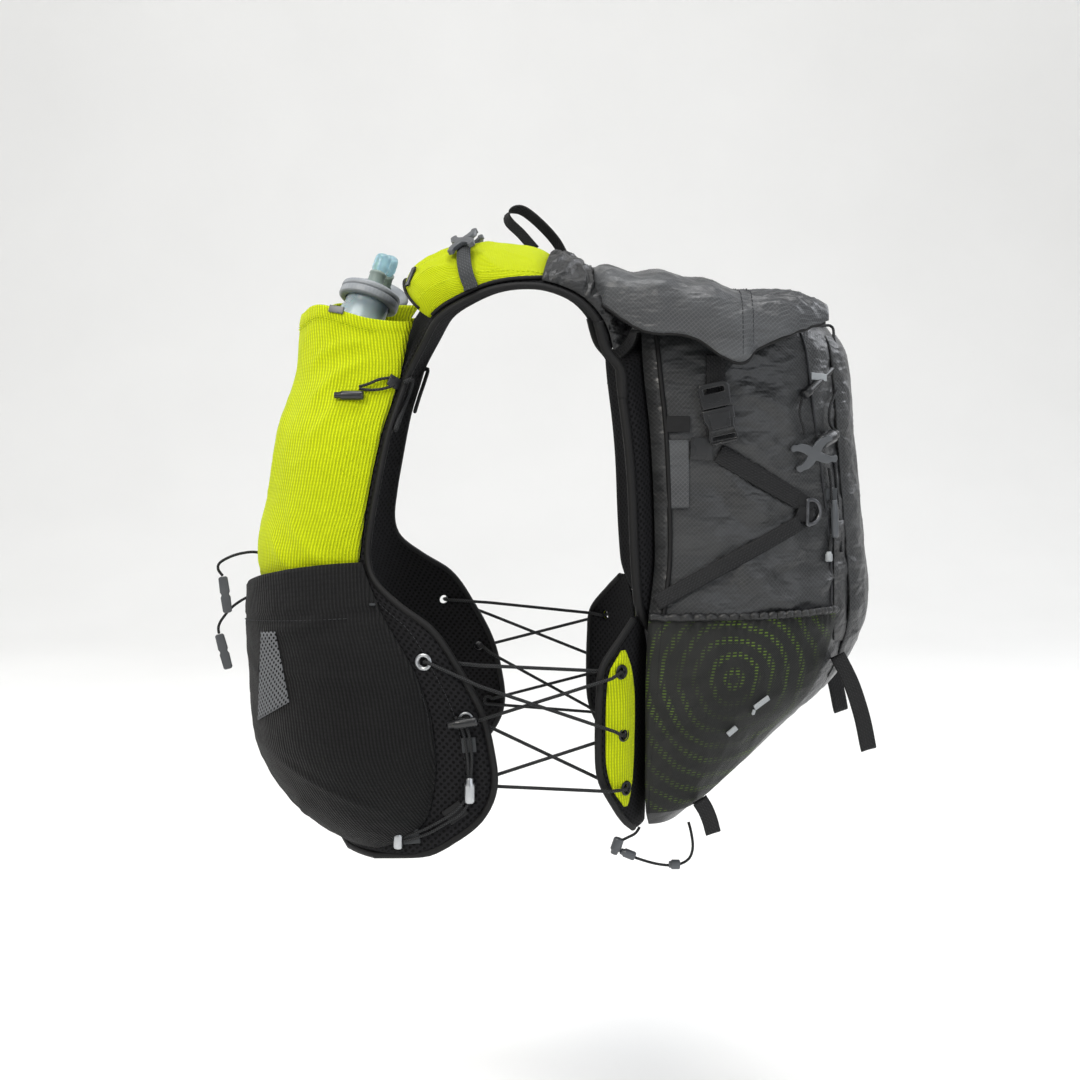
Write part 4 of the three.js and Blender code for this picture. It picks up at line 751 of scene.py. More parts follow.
def shot_net(name):
    # Open black net over a lime lining, sewn slack: the two layers drift in and out of step, so short lime
    # dashes glimmer along curved lines and the rest reads as near black
    material, tree, place = begin(name, Specular_IOR_Level=0.3)
    cloth = node(tree, LENGTHS, uv_map="cloth")
    centred = node(tree, "ShaderNodeMapping", {"Vector": place, "Location": (0, -0.15, 0.262)})
    contour = node(
        tree, WAVES,
        {"Vector": centred, "Scale": ONE_MM / 11, "Distortion": 2.5, "Detail": 1, "Detail Scale": 1.2}, 1,
        wave_type="RINGS", rings_direction="X")
    rows = node(tree, WAVES, {"Vector": cloth, "Scale": ONE_MM / 2.2}, 1, bands_direction="Y")
    breaks = node(
        tree, WAVES, {"Vector": cloth, "Scale": ONE_MM / 4.4, "Distortion": 2}, 1, bands_direction="X")
    ring = node(tree, SPREAD, {"Value": contour, "From Min": 0.55, "From Max": 0.95})
    row = node(tree, SPREAD, {"Value": rows, "From Min": 0.5, "From Max": 0.8})
    gap = node(tree, SPREAD, {"Value": breaks, "From Min": 0.2, "From Max": 0.5})
    lines = node(tree, MATH, {0: ring, 1: row}, operation="MULTIPLY")
    dashes = node(tree, MATH, {0: lines, 1: gap}, operation="MULTIPLY")
    patch = node(tree, NOISE, {"Vector": place, "Scale": 13, "Detail": 2})
    seen = node(
        tree, SPREAD, {"Value": patch, "From Min": 0.38, "From Max": 0.62, "To Min": 0.08, "To Max": 0.75})
    share = node(tree, MATH, {0: dashes, 1: seen}, operation="MULTIPLY")
    net = node(tree, WAVES, {"Vector": cloth, "Scale": ONE_MM_SLANTED / 1.6}, 1, bands_direction="DIAGONAL")
    black = node(tree, BLEND, {0: net, 6: "#070807", 7: "#161816"}, 2, data_type="RGBA")
    colour = node(tree, BLEND, {0: share, 6: black, 7: "#5d7a14"}, 2, data_type="RGBA")
    slack = node(tree, NOISE, {"Vector": place, "Scale": 30, "Detail": 5})
    loose = node(tree, BUMP, {"Height": slack, "Distance": 0.008, "Strength": 0.6})
    knotted = node(tree, BUMP, {"Height": net, "Distance": 0.0004, "Strength": 0.6, "Normal": loose})
    rough = node(tree, SPREAD, {"Value": slack, "To Min": 0.42, "To Max": 0.7})
    return end(material, colour, rough, knotted)


def woven_band(name, light, dark):
    # Nylon webbing, woven in a fine twill and heat-set: slanting ribs give a dry, close texture
    material, tree, place = begin(name, Specular_IOR_Level=0.3)
    cloth = node(tree, LENGTHS, uv_map="cloth")
    slant = node(
        tree, WAVES, {"Vector": cloth, "Scale": ONE_MM_SLANTED / 2.72}, 1, bands_direction="DIAGONAL")
    cross = node(tree, WAVES, {"Vector": cloth, "Scale": ONE_MM / 1.7}, 1, bands_direction="X")
    weave = node(tree, MATH, {0: slant, 1: cross}, operation="MULTIPLY")
    wear = node(tree, NOISE, {"Vector": place, "Scale": 120})
    paler_where_high = node(tree, MATH, {0: weave, 1: wear, 2: 0.15}, operation="MULTIPLY_ADD")
    colour = node(tree, BLEND, {0: paler_where_high, 6: dark, 7: light}, 2, data_type="RGBA")
    ribs = node(tree, BUMP, {"Height": weave, "Distance": 0.0004, "Strength": 0.8})
    rough = node(tree, SPREAD, {"Value": wear, "To Min": 0.6, "To Max": 0.85})
    return end(material, colour, rough, ribs)


def close_thread(name, low, high):
    # Folded binding tape or sewing thread, knitted close: nearly flat, with fine cross ribs and a satin bend
    material, tree, place = begin(name, Specular_IOR_Level=0.25)
    cloth = node(tree, LENGTHS, uv_map="cloth")
    rib = node(tree, WAVES, {"Vector": cloth, "Scale": ONE_MM / 0.9}, 1, bands_direction="Y")
    cloudy = node(tree, NOISE, {"Vector": place, "Scale": 60})
    colour = node(tree, BLEND, {0: cloudy, 6: low, 7: high}, 2, data_type="RGBA")
    ribs = node(tree, BUMP, {"Height": rib, "Distance": 0.0002, "Strength": 0.5})
    rough = node(tree, SPREAD, {"Value": cloudy, "To Min": 0.5, "To Max": 0.7})
    return end(material, colour, rough, ribs)


def braided_cord(name, dark, fleck):
    # Elastic cord under a braided sleeve: crossing strands make small diamonds, one of them flecked paler
    material, tree, place = begin(name, Specular_IOR_Level=0.3)
    cloth = node(tree, LENGTHS, uv_map="cloth")
    braid = crossed_bands(tree, cloth, 1.8)
    flecks = node(tree, SPREAD, {"Value": braid, "From Min": 0.55})
    colour = node(tree, BLEND, {0: flecks, 6: dark, 7: fleck}, 2, data_type="RGBA")
    strands = node(tree, BUMP, {"Height": braid, "Distance": 0.0003, "Strength": 0.8})
    fuzz = node(tree, NOISE, {"Vector": place, "Scale": 300})
    rough = node(tree, SPREAD, {"Value": fuzz, "To Min": 0.6, "To Max": 0.8})
    return end(material, colour, rough, strands)


def moulded(name, light, dark, roughness, grain=900.0):
    # Injection-moulded plastic from a spark-eroded mould: a fine even grain, cloudy where it flowed, and
    # paler along its sharp edges, where a painted highlight is laid into the colour
    material, tree, place = begin(name, IOR=1.48)
    paler_where_high = node(tree, "ShaderNodeNewGeometry", out="Pointiness")
    edge = node(tree, SPREAD, {"Value": paler_where_high, "From Min": 0.51, "From Max": 0.58})
    cloudy = node(tree, NOISE, {"Vector": place, "Scale": 70})
    body = node(tree, BLEND, {0: cloudy, 6: dark, 7: light}, 2, data_type="RGBA")
    # painted highlight: where the pointiness marks sharp convex edges, the colour goes to the paler tone
    colour = node(tree, BLEND, {0: edge, 6: body, 7: light}, 2, data_type="RGBA")
    rough = node(tree, SPREAD, {"Value": cloudy, "To Min": roughness - 0.06, "To Max": roughness + 0.1})
    eroded = node(tree, NOISE, {"Vector": place, "Scale": grain, "Detail": 2})
    relief = node(tree, BUMP, {"Height": eroded, "Distance": 0.00012, "Strength": 0.35})
    return end(material, colour, rough, relief)


def anodised(name, light, dark, roughness):
    # Aluminium or steel, brushed and then anodised or blacked: fine lines along it and brighter rubbed places
    material, tree, place = begin(name, Metallic=1.0)
    drawn = node(tree, "ShaderNodeMapping", {"Vector": place, "Scale": (60, 900, 60)})
    brush = node(tree, NOISE, {"Vector": drawn, "Scale": 8, "Detail": 3})
    rubbed = node(tree, NOISE, {"Vector": place, "Scale": 90})
    colour = node(tree, BLEND, {0: rubbed, 6: dark, 7: light}, 2, data_type="RGBA")
    rough = node(tree, SPREAD, {"Value": brush, "To Min": roughness - 0.08, "To Max": roughness + 0.12})
    relief = node(tree, BUMP, {"Height": brush, "Distance": 0.0001, "Strength": 0.3})
    return end(material, colour, rough, relief)


def soft_clear(name, tint, deep, transmission, roughness, ior):
    # Clear soft polymer, blown as film or moulded: milky where it is thick, with faint flow marks
    material, tree, place = begin(
        name, Transmission_Weight=transmission, IOR=ior, Subsurface_Weight=0.1, Subsurface_Scale=0.004)
    flow = node(tree, NOISE, {"Vector": place, "Scale": 55, "Detail": 5})
    colour = node(tree, BLEND, {0: flow, 6: deep, 7: tint}, 2, data_type="RGBA")
    rough = node(tree, SPREAD, {"Value": flow, "To Min": roughness, "To Max": roughness + 0.15})
    relief = node(tree, BUMP, {"Height": flow, "Distance": 0.0012, "Strength": 0.35})
    return end(material, colour, rough, relief)


def bead_film(name):
    # Reflective transfer film, heat-pressed: mid grey with a fine grain of glass beads that sparkles a little
    material, tree, place = begin(name, Specular_IOR_Level=0.6)
    beads = node(tree, NOISE, {"Vector": place, "Scale": 2400, "Detail": 2})
    colour = node(tree, BLEND, {0: beads, 6: "#7d8184", 7: "#a5a9ab"}, 2, data_type="RGBA")
    rough = node(tree, SPREAD, {"Value": beads, "To Min": 0.3, "To Max": 0.5})
    relief = node(tree, BUMP, {"Height": beads, "Distance": 0.0001, "Strength": 0.4})
    return end(material, colour, rough, relief)


def painted_floor(name):
    # Matt emulsion, rolled on: near white, with a very faint roller mottle
    material, tree, place = begin(name, Specular_IOR_Level=0.2)
    mottle = node(tree, NOISE, {"Vector": place, "Scale": 3, "Detail": 3})
    stipple = node(tree, NOISE, {"Vector": place, "Scale": 160})
    colour = node(tree, BLEND, {0: mottle, 6: "#eeeeed", 7: "#f6f6f5"}, 2, data_type="RGBA")
    rough = node(tree, SPREAD, {"Value": mottle, "To Min": 0.8, "To Max": 0.9})
    relief = node(tree, BUMP, {"Height": stipple, "Distance": 0.0004, "Strength": 0.1})
    return end(material, colour, rough, relief)


def make_materials(settings):
    rib = settings.rib_pitch / MM
    hole = settings.mesh_pitch / MM
    MATERIALS.update(
        lime=ribbed_knit("lime_ribbed_stretch_knit", settings.lime, "#98a600", "#cfdb04", rib),
        lime_smooth=ribbed_knit("lime_fine_stretch_knit", "#c8d600", "#a0ae00", "#cfdb04", 1.2),
        ribbed=ribbed_knit("black_ribbed_stretch_knit", "#141415", "#050505", "#1b1b1d", rib * 1.1),
        mesh=spacer_mesh("black_spacer_mesh", "#1a1a1c", "#030304", hole * 1.5),
        window=spacer_mesh("grey_open_mesh", "#6a6c6f", "#08080a", hole * 1.3),
        ripstop=ripstop("charcoal_ripstop_nylon", "#2b2c2d", "#151617", "#414345", 0.8, 0.34),
        lid=ripstop("grey_ripstop_nylon", "#454749", "#28292b", "#5b5d60", 0.8, 0.36),
        yoke=ripstop("black_crinkled_nylon", "#1c1d1e", "#0a0a0b", "#242527", 1.0, 0.38),
        dark_mesh=shot_net("black_net_over_lime_lining"),
        webbing=woven_band("black_twill_webbing", "#2c2d2f", "#0c0c0d"),
        grey_webbing=woven_band("grey_twill_webbing", "#55585b", "#2a2c2e"),
        binding=close_thread("black_binding_tape", "#0a0a0b", "#131314"),
        lime_thread=close_thread("lime_sewing_thread", "#b4c200", "#cdda10"),
        thread=close_thread("dark_sewing_thread", "#202123", "#303134"),
        cord=braided_cord("dark_braided_elastic", "#161718", "#505255"),
        buckle=moulded("black_moulded_acetal", "#232426", "#0f1011", 0.26),
        grey_plastic=moulded("grey_moulded_acetal", "#505357", "#323538", 0.34),
        cap=moulded("grey_moulded_polypropylene", "#8d9196", "#6d7278", 0.42, 1400.0),
        wire=anodised("black_anodised_wire", "#77787b", "#2c2d2f", 0.36),
        ring=anodised("silver_anodised_eyelet", "#c4c6c8", "#8b8e92", 0.28),
        dark_ring=anodised("black_anodised_eyelet", "#4b4c4f", "#161617", 0.34),
        bottle=soft_clear("clear_welded_film", "#cfe0e8", "#a8bdc9", 0.55, 0.18, 1.5),
        valve=soft_clear("clear_moulded_silicone", "#bfe0ea", "#86b8ca", 0.6, 0.22, 1.41),
        valve_sleeve=moulded("grey_green_moulded_elastomer", "#7d8c87", "#5e6c69", 0.5, 700.0),
        reflective=bead_film("grey_reflective_film"),
        floor=painted_floor("pale_painted_floor"),
    )


# Photograph's view, as the camera stands: image points are in a frame of 1080 by 1080
VIEW_TARGET = Vector((0, 0.0171, -0.1792))
VIEW_DISTANCE = 1.6
VIEW_ELEVATION = radians(6.5)
FRAME_SIZE = 1080
FOCAL = 2176
# How far the vest's near side stands in front of the view's target
NEAR_SIDE = 0.11


def view_place():
    return VIEW_TARGET + Vector((cos(VIEW_ELEVATION), 0, sin(VIEW_ELEVATION))) * VIEW_DISTANCE


def seen_at(piece, x, y):
    """Point and normal, in millimetres, where the piece is met at an image point."""
    eye = view_place()
    ahead = (VIEW_TARGET - eye).normalized()
    right = ahead.cross(UP).normalized()
    rise = right.cross(ahead)
    middle = FRAME_SIZE / 2
    way = (ahead + right * ((x - middle) / FOCAL) + rise * ((middle - y) / FOCAL)).normalized()
    found = piece.ray_cast(eye, way)
    if not found[0]:
        found = piece.closest_point_on_mesh(eye + way * (VIEW_DISTANCE - NEAR_SIDE))
    return found[1] / MM, found[2]


def laid_route(piece, marks, lift, count):
    """Route on a piece through image points, lifted off its surface."""
    ends = [seen_at(piece, x, y) for x, y in marks]
    return curve_route([spot + normal * lift for spot, normal in ends], count)


def laid_band(name, piece, marks, width, thickness, lift):
    """Band that follows image points on a piece, its face turned off the surface."""
    ends = [seen_at(piece, x, y) for x, y in marks]
    count = 16
    route = laid_route(piece, marks, lift, count)
    path = []
    for i, here in enumerate(route):
        t = i / count * (len(ends) - 1)
        k = min(int(t), len(ends) - 2)
        path.append((here, ends[k][1].lerp(ends[k + 1][1], t - k).normalized()))
    return band(name, path, width, thickness)


def stitches(name, route, normals):
    """Row of thread stitches along a route, each one sunk at both ends."""
    spots, faces, run = [], [], 0.0
    lengths = run_lengths(route)

    def at(distance):
        i = min(bisect_right(lengths, distance) - 1, len(lengths) - 2)
        t = clamp((distance - lengths[i]) / max(lengths[i + 1] - lengths[i], 1e-9))
        return route[i].lerp(route[i + 1], t), normals[i].lerp(normals[i + 1], t).normalized()

    while run + STITCH_LENGTH < lengths[-1]:
        rises = ((0, -0.4), (0.25, 0.25), (0.75, 0.25), (1, -0.4))
        rings = [(*at(run + share * STITCH_LENGTH), rise) for share, rise in rises]
        along = (rings[-1][0] - rings[0][0]).normalized()
        base = len(spots)
        for here, normal, rise in rings:
            side = along.cross(normal).normalized()
            centre = here + normal * (rise * THREAD)
            for x, y in ((0.5, 0), (0, 0.5), (-0.5, 0), (0, -0.5)):
                spots.append(centre + side * (x * THREAD) + normal * (y * THREAD))
        for face in ring_faces(4, 4) + end_faces(4, 4):
            faces.append(tuple(base + corner for corner in face))
        run += STITCH_LENGTH + STITCH_GAP
    return mesh_object(name, spots, faces, [(0, spot.z * MM) for spot in spots])


def crease(spot, rows):
    """Height of the folds at a place: rows are x1, y1, x2, y2, width, height."""
    x, y = spot
    total = 0.0
    for x1, y1, x2, y2, width, height in rows:
        dx, dy = x2 - x1, y2 - y1
        t = ((x - x1) * dx + (y - y1) * dy) / (dx * dx + dy * dy)
        if -0.2 < t < 1.2:
            off = ((x - x1) * dy - (y - y1) * dx) / hypot(dx, dy)
            taper = smooth((t + 0.2) / 0.4) * smooth((1.2 - t) / 0.4)
            total += height * taper * exp(-(off / width) ** 2)
    return total


def crumple(spot, scale, height, sharpness=0.5):
    """Irregular cloth relief: broad swells with a few sharp ridges."""
    at = Vector((abs(spot.x), spot.y, spot.z)) / scale
    height *= bpy.context.scene.vest.crumpling
    swell = noise.noise(at)
    ridge = 1 - abs(noise.noise(at * 1.7 + Vector((7, 3, 5)))) * 2.5
    return height * (swell * (1 - sharpness) + max(ridge, 0) * sharpness - sharpness * 0.3)


def harness_point(s, u, offset=0.0):
    """Front panel from its foot (0) to its top (1), and the shoulder strap from there (2 to 3)."""
    def front(drop):
        inner, outer = between(FRONT, drop)
        return body_point(level(drop), mix(inner, outer, u), offset)
    if s <= 1:
        return front(mix(0.997, 0.15, s))
    if s >= 2:
        return strap_point(mix(1, 9, s - 2), u, offset)
    return spline(front(0.22), front(0.15), strap_point(1, u, offset), strap_point(1.7, u, offset), s - 1)


def eyelet_place(name, offset):
    angle, drop = EYELETS[name]
    return body_point(level(drop), angle, offset), body_normal(level(drop), angle)


def eyelet_ring(name, lift, bore, outer):
    """Pressed eyelet: a rounded flange round a bore."""
    m, rise = (bore + outer) / 2, 0.9
    profile = (
        (bore, -rise * 2), (bore, rise * 0.3), (bore + 0.25, rise * 0.8), (m, rise),
        (outer - 0.3, rise * 0.75), (outer, 0), (outer - 0.3, -rise * 0.4), (m, -rise * 0.4),
        (bore + 0.4, -rise * 2), (bore, -rise * 2))
    return lathe(name, profile, *eyelet_place(name, lift), UP, 32)


def make_harness():
    rows = steps(64, 0, 1) + steps(8, 1, 2)[1:] + steps(56, 2, 3)[1:]
    columns = steps(26)
    panel = padded_sheet(
        "front_panel", harness_point, rows, columns, PANEL,
        lambda u, v, p: 0.5 * sin(pi * u) + crumple(p, 34, 0.5))
    bored(panel, [eyelet_place(name, 0) for name in ("front_top", "front_toggle")])
    for made in both_sides(panel, "mesh", "harness"):
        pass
    edge = [harness_point(s, 0, 2) for s in reversed(rows)]
    edge += [harness_point(0, u, 2) for u in columns[1:]]
    edge += [harness_point(s, 1, 2) for s in rows[1:]]
    trim = tube("front_binding", curve_route(edge[3:-3], 260), 5.2, 10, squash=0.9)
    both_sides(trim, "binding")
    route, normals = [], []
    for s in rows[6:-6]:
        here = harness_point(s, 0.9, PANEL + 0.35)
        route.append(here)
        normals.append((here - harness_point(s, 0.9, 0)).normalized())
    both_sides(stitches("front_stitching", route, normals), "thread")
    rings = [
        eyelet_ring("front_top", PANEL + 0.4, 3.5, 6), eyelet_ring("front_toggle", PANEL + 0.4, 3.5, 5.2)]
    both_sides(joined("front_eyelets", rings), "ring")
    return panel


def back_top(angle):
    t = clamp((angle - 36) / 21)
    return mix(-0.108, -0.06, t) * VEST_DROP - 4 * CLEARANCE - 2


def make_back():
    def surface(v, u, offset):
        spread = 90 - between(BACK_EDGE, 0.08 + 0.845 * v)[0]
        angle = 90 - u * spread
        top = back_top(min(angle, 180 - angle))
        return body_point(mix(top, -0.925 * VEST_DROP, v), angle, offset)

    def channels(u, v, spot):
        return -1.1 * exp(-((abs(u) - 0.42) / 0.03) ** 2) - 0.9 * exp(-(u / 0.03) ** 2)
    panel = padded_sheet("back_cloth", surface, steps(80), steps(72, -1, 1), BACK_PANEL, channels, 1.0)
    finish_piece(panel, "mesh", ("back_panel",))
    rim = [surface(v, -1, 4) for v in steps(40)] + [surface(1, u, 4) for u in steps(40, -1, 1)[1:]]
    rim += [surface(v, 1, 4) for v in reversed(steps(40)[:-1])]
    finish_piece(tube("back_binding", curve_route(rim, 240), 6.4, 10), "binding")
    turn = [harness_point(2.86, 1, 2), harness_point(2.97, 1, 1), surface(0.02, 1, 5), surface(0.08, 1, 4)]
    both_sides(tube("shoulder_binding", curve_route(turn, 60), 7, 12), "binding")


def make_wings():
    def wing(v, u, offset):
        front, rear = between(WING_EDGES, v)
        return body_point(level(v), mix(front, rear, u), offset)

    def lens(v, u, offset):
        front, rear, puff = between(LENS_EDGES, v)
        lift = WING + CLEARANCE + puff * sin(pi * u) ** 2
        return body_point(level(v), mix(front, rear, u), lift + offset)

    names = ("wing_top", "wing_middle", "wing_bottom")
    holes = [eyelet_place(name, 0) for name in names]
    cloth = padded_sheet("wing_cloth", wing, steps(56, 0.57, 0.965), steps(16), WING)
    bored(cloth, holes)
    for made in both_sides(cloth, "mesh", "side_wing"):
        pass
    edge = [wing(v, 0, 1.4) for v in steps(50, 0.575, 0.96)]
    both_sides(tube("wing_binding", curve_route(edge, 90), 5, 10), "binding")
    panel = padded_sheet(
        "lens_cloth", lens, steps(48, 0.625, 0.912), steps(14), LENS, lambda u, v, p: crumple(p, 16, 0.5))
    bored(panel, holes)
    held_cloth(both_sides(panel, "lime", "lens_panel"), pair("side_wing"))
    drops = steps(30, 0.64, 0.9)
    seam = [lens(drop, 0.86, LENS) for drop in drops]
    normals = [(lens(drop, 0.86, LENS + 1) - here).normalized() for drop, here in zip(drops, seam)]
    both_sides(stitches("lens_stitching", seam, normals), "lime_thread")
    rings = [eyelet_ring(name, WING + CLEARANCE + LENS + 1.2, 3.4, 5.3) for name in names]
    both_sides(joined("wing_eyelets", rings), "dark_ring")


def turned_out(way):
    return -way if way.dot(POCKET_FORWARD + ACROSS) < 0 else way


def mouth_rise(u, v, height):
    return UP * (height * exp(-((u - 0.8) / 0.2) ** 2) * (1 - smooth(v / 0.35)))


def pocket_cloth(name, rows, depth, fullness, levels, columns, relief, hem, mouth=0.0):
    """Stretch pocket with a doubled hem round its mouth, which stands higher on the outer side."""
    first, last = rows[0][0], rows[-1][0]
    across = [0.5 - 0.5 * cos(pi * u) for u in steps(columns)]
    drops = steps(levels, first, last)
    outer = [[pocket_point(rows, drop, u, depth, fullness) for u in across] for drop in drops]
    inner = [[pocket_point(rows, drop, u, depth, fullness, KNIT) for u in across] for drop in drops]
    normals = grid_normals(outer)
    for r, drop in enumerate(drops):
        v = (drop - first) / (last - first)
        for c, u in enumerate(across):
            way = turned_out(normals[r][c])
            hold = smooth(min(u, 1 - u) / 0.08) * smooth((1 - v) / 0.06)
            lift = relief(u, v, outer[r][c]) * hold
            band_edge = (drop - first) * VEST_DROP
            lift += 0.55 if band_edge < hem - 0.8 else (-0.35 if band_edge < hem + 1.2 else 0)
            rise = mouth_rise(u, v, mouth)
            outer[r][c] = outer[r][c] + way * lift + rise
            inner[r][c] = inner[r][c] + way * min(lift, lift * 0.9) + rise
    return sheet(name, outer, inner)


def pocket_line(rows, depth, fullness, drop, lift, mouth=0.0):
    """Route and normals round a pocket at one drop."""
    route, normals = [], []
    for u in steps(90, 0.02, 0.98):
        here = pocket_point(rows, drop, u, depth, fullness)
        side = pocket_point(rows, drop, u + 0.004, depth, fullness) - here
        down = pocket_point(rows, drop + 0.004, u, depth, fullness) - here
        normal = turned_out(side.cross(down).normalized())
        v = (drop - rows[0][0]) / (rows[-1][0] - rows[0][0])
        route.append(here + normal * lift + mouth_rise(u, v, mouth))
        normals.append(normal)
    return route, normals


# u1, v1, u2, v2, width, height of a fold
FLASK_FOLDS = (
    (0.98, 0.1, 0.72, 0.2, 0.014, 1.6), (0.99, 0.16, 0.76, 0.3, 0.016, 1.8),
    (0.97, 0.27, 0.8, 0.42, 0.02, 1.3), (0.95, 0.9, 0.66, 0.74, 0.018, 1.6),
    (0.97, 0.82, 0.74, 0.64, 0.018, 1.2), (0.2, 0.93, 0.5, 0.85, 0.02, 1.2),
    (0.6, 0.96, 0.8, 0.88, 0.016, 1.2), (0.4, 0.62, 0.52, 0.3, 0.05, 1.2),
)
CHEST_FOLDS = (
    (0.95, 0.1, 0.6, 0.16, 0.016, 1.4), (0.98, 0.28, 0.66, 0.24, 0.02, 1.3),
    (0.3, 0.2, 0.55, 0.28, 0.03, 1.0), (0.9, 0.8, 0.6, 0.62, 0.02, 1.4),
    (0.42, 0.9, 0.62, 0.78, 0.02, 1.2), (0.3, 0.6, 0.34, 0.9, 0.02, 1.0),
)


def make_pockets():
    flask = pocket_cloth(
        "bottle_pocket", FLASK_POCKET, FLASK_POCKET_DEPTH, 2.3, 96, 60,
        lambda u, v, p: crease((u, v), FLASK_FOLDS) + crumple(p, 30, 0.9), 12, 13)
    held_cloth(both_sides(flask, "lime", "flask_pocket"), pair("harness"))
    lines = []
    for drop in (0.048, 0.053):
        route, normals = pocket_line(FLASK_POCKET, FLASK_POCKET_DEPTH, 2.3, drop, 0.35, 13)
        lines.append(stitches("hem_row", route, normals))
    both_sides(joined("bottle_pocket_stitching", lines), "lime_thread")
    chest = pocket_cloth(
        "ribbed_pocket", CHEST_POCKET, CHEST_POCKET_DEPTH, 2.6, 96, 60,
        lambda u, v, p: crease((u, v), CHEST_FOLDS) + crumple(p, 26, 0.9), 16)
    held_cloth(both_sides(chest, "ribbed", "chest_pocket"), pair("harness"))
    route, normals = pocket_line(CHEST_POCKET, CHEST_POCKET_DEPTH, 2.6, 0.6, 0.4)
    lines = [stitches("hem_row", route, normals)]
    side = laid_route(chest, ((407, 633), (416, 670), (426, 710), (437, 750), (445, 780)), 0.3, 60)
    lines.append(stitches("side_row", side, [seen_at(chest, 426, 710)[1]] * len(side)))
    both_sides(joined("ribbed_pocket_stitching", lines), "thread")
    window = laid_sheet("mesh_window", chest, ((262, 632), (276, 632), (290, 702), (259, 720)), 0.5, 0.5)
    held_cloth(both_sides(window, "window"), pair("chest_pocket"))
    return flask, chest


def laid_sheet(name, piece, corners, thickness, lift, count=12):
    """Four-cornered cloth patch laid on a piece: corners are image points in order round it."""
    outer, inner = [], []
    (ax, ay), (bx, by), (cx, cy), (dx, dy) = corners
    for v in steps(count):
        out_row, in_row = [], []
        for u in steps(count):
            x = mix(mix(ax, bx, u), mix(dx, cx, u), v)
            y = mix(mix(ay, by, u), mix(dy, cy, u), v)
            spot, normal = seen_at(piece, x, y)
            in_row.append(spot + normal * lift)
            out_row.append(spot + normal * (lift + thickness))
        outer.append(out_row)
        inner.append(in_row)
    return sheet(name, outer, inner)


def make_bottles():
    def ring(rise, wide_share, deep_share, neck):
        drop = FLASK_FOOT - rise * FLASK_LENGTH / VEST_DROP
        bulge = between(FLASK_POCKET, drop)[2]
        facing = Vector((0.5, -1, 0))
        deep = (facing - FLASK_AXIS * facing.dot(FLASK_AXIS)).normalized()
        wide = FLASK_AXIS.cross(deep)
        room = bulge * FLASK_POCKET_DEPTH * 0.5 - KNIT - 5
        half_deep = mix(deep_share * room, NECK_RADIUS, neck)
        half_wide = mix(wide_share * FLASK_HALF_WIDTH, NECK_RADIUS, neck)
        straight = flask_centre(FLASK_TOP) + FLASK_AXIS * ((rise - 1) * FLASK_LENGTH)
        centre = flask_centre(drop).lerp(straight, neck)
        found = []
        for s in range(48):
            turn = 2 * pi * s / 48
            here = centre + wide * (cos(turn) * half_wide) + deep * (sin(turn) * half_deep)
            found.append(here + (here - centre).normalized() * crumple(here, 22, 0.6 * (1 - neck)))
        return found
    rings = []
    for rise in steps(40):
        wide, deep, neck = between(FLASK, rise)
        rings.append(ring(rise, wide, deep, clamp(neck)))
    faces = ring_faces(len(rings), 48) + end_faces(len(rings), 48)[:1]
    uvs = [(s / 48 * 0.14, r / 40 * 0.176) for r in range(41) for s in range(48)]
    bottle = mesh_object("soft_bottle", [spot for row in rings for spot in row], faces, uvs)
    both_sides(bottle, "bottle", "flask_body")


def make_caps():
    r, h, v = CAP_DIAMETER / 2, CAP_HEIGHT, VALVE_RADIUS
    profile = (
        (NECK_RADIUS + 1, 0.2), (r - 2.2, 0), (r - 0.4, 0.7), (r, 1.5, 1), (r, h * 0.44, 1),
        (r - 0.3, h * 0.48), (r - 1, h * 0.5), (r - 1, h * 0.58), (r - 0.3, h * 0.6), (r, h * 0.64, 1),
        (r, h - 2.6, 1), (r - 0.6, h - 1.2), (r - 2.6, h - 0.25), (r - 3.6, h), (r - 7, h),
        (r - 7.6, h - 0.5), (v + 1.8, h - 0.5), (v + 1.2, h), (0.01, h))
    cap = lathe("screw_cap", profile, CAP_SEAT, FLASK_AXIS, FLASK_SIDE, 144, 48, 0.35)
    both_sides(cap, "cap", "flask_cap")


def make_valves():
    r, l = VALVE_RADIUS, VALVE_LENGTH
    sleeve = (
        (r + 0.6, 0), (r + 0.8, 0.5), (r + 0.6, l * 0.1), (r - 0.2, l * 0.15), (r - 0.3, l * 0.4),
        (r + 0.2, l * 0.43), (r + 0.2, l * 0.47), (r - 0.9, l * 0.5), (0.01, l * 0.5))
    both_sides(lathe("valve_sleeve", sleeve, VALVE_SEAT, FLASK_AXIS, FLASK_SIDE), "valve_sleeve")
    bulb = (
        (0.01, l * 0.44), (r - 1.2, l * 0.46), (r - 1.1, l * 0.53), (r - 0.1, l * 0.6), (r, l * 0.7),
        (r - 0.2, l * 0.74), (r, l * 0.78), (r - 0.1, l * 0.9), (r - 0.8, l * 0.97), (r - 2, l), (2, l),
        (1.6, l - 0.8), (0.01, l - 1))
    both_sides(lathe("valve_bulb", bulb, VALVE_SEAT, FLASK_AXIS, FLASK_SIDE), "valve", "bite_valve")


POUCH_FOLDS = (
    (0.1, 0.3, 0.45, 0.42, 0.035, -2.6), (0.95, 0.28, 0.6, 0.42, 0.035, -2.4),
    (0.2, 0.55, 0.5, 0.45, 0.03, 1.8), (0.9, 0.6, 0.55, 0.46, 0.03, 1.8), (0.5, 0.1, 0.5, 0.34, 0.06, -1.4),
    (0.75, 0.05, 0.8, 0.35, 0.03, 1.6), (0.5, 0.6, 0.7, 0.9, 0.03, 1.3), (0.3, 0.65, 0.25, 0.95, 0.03, 1.1),
)


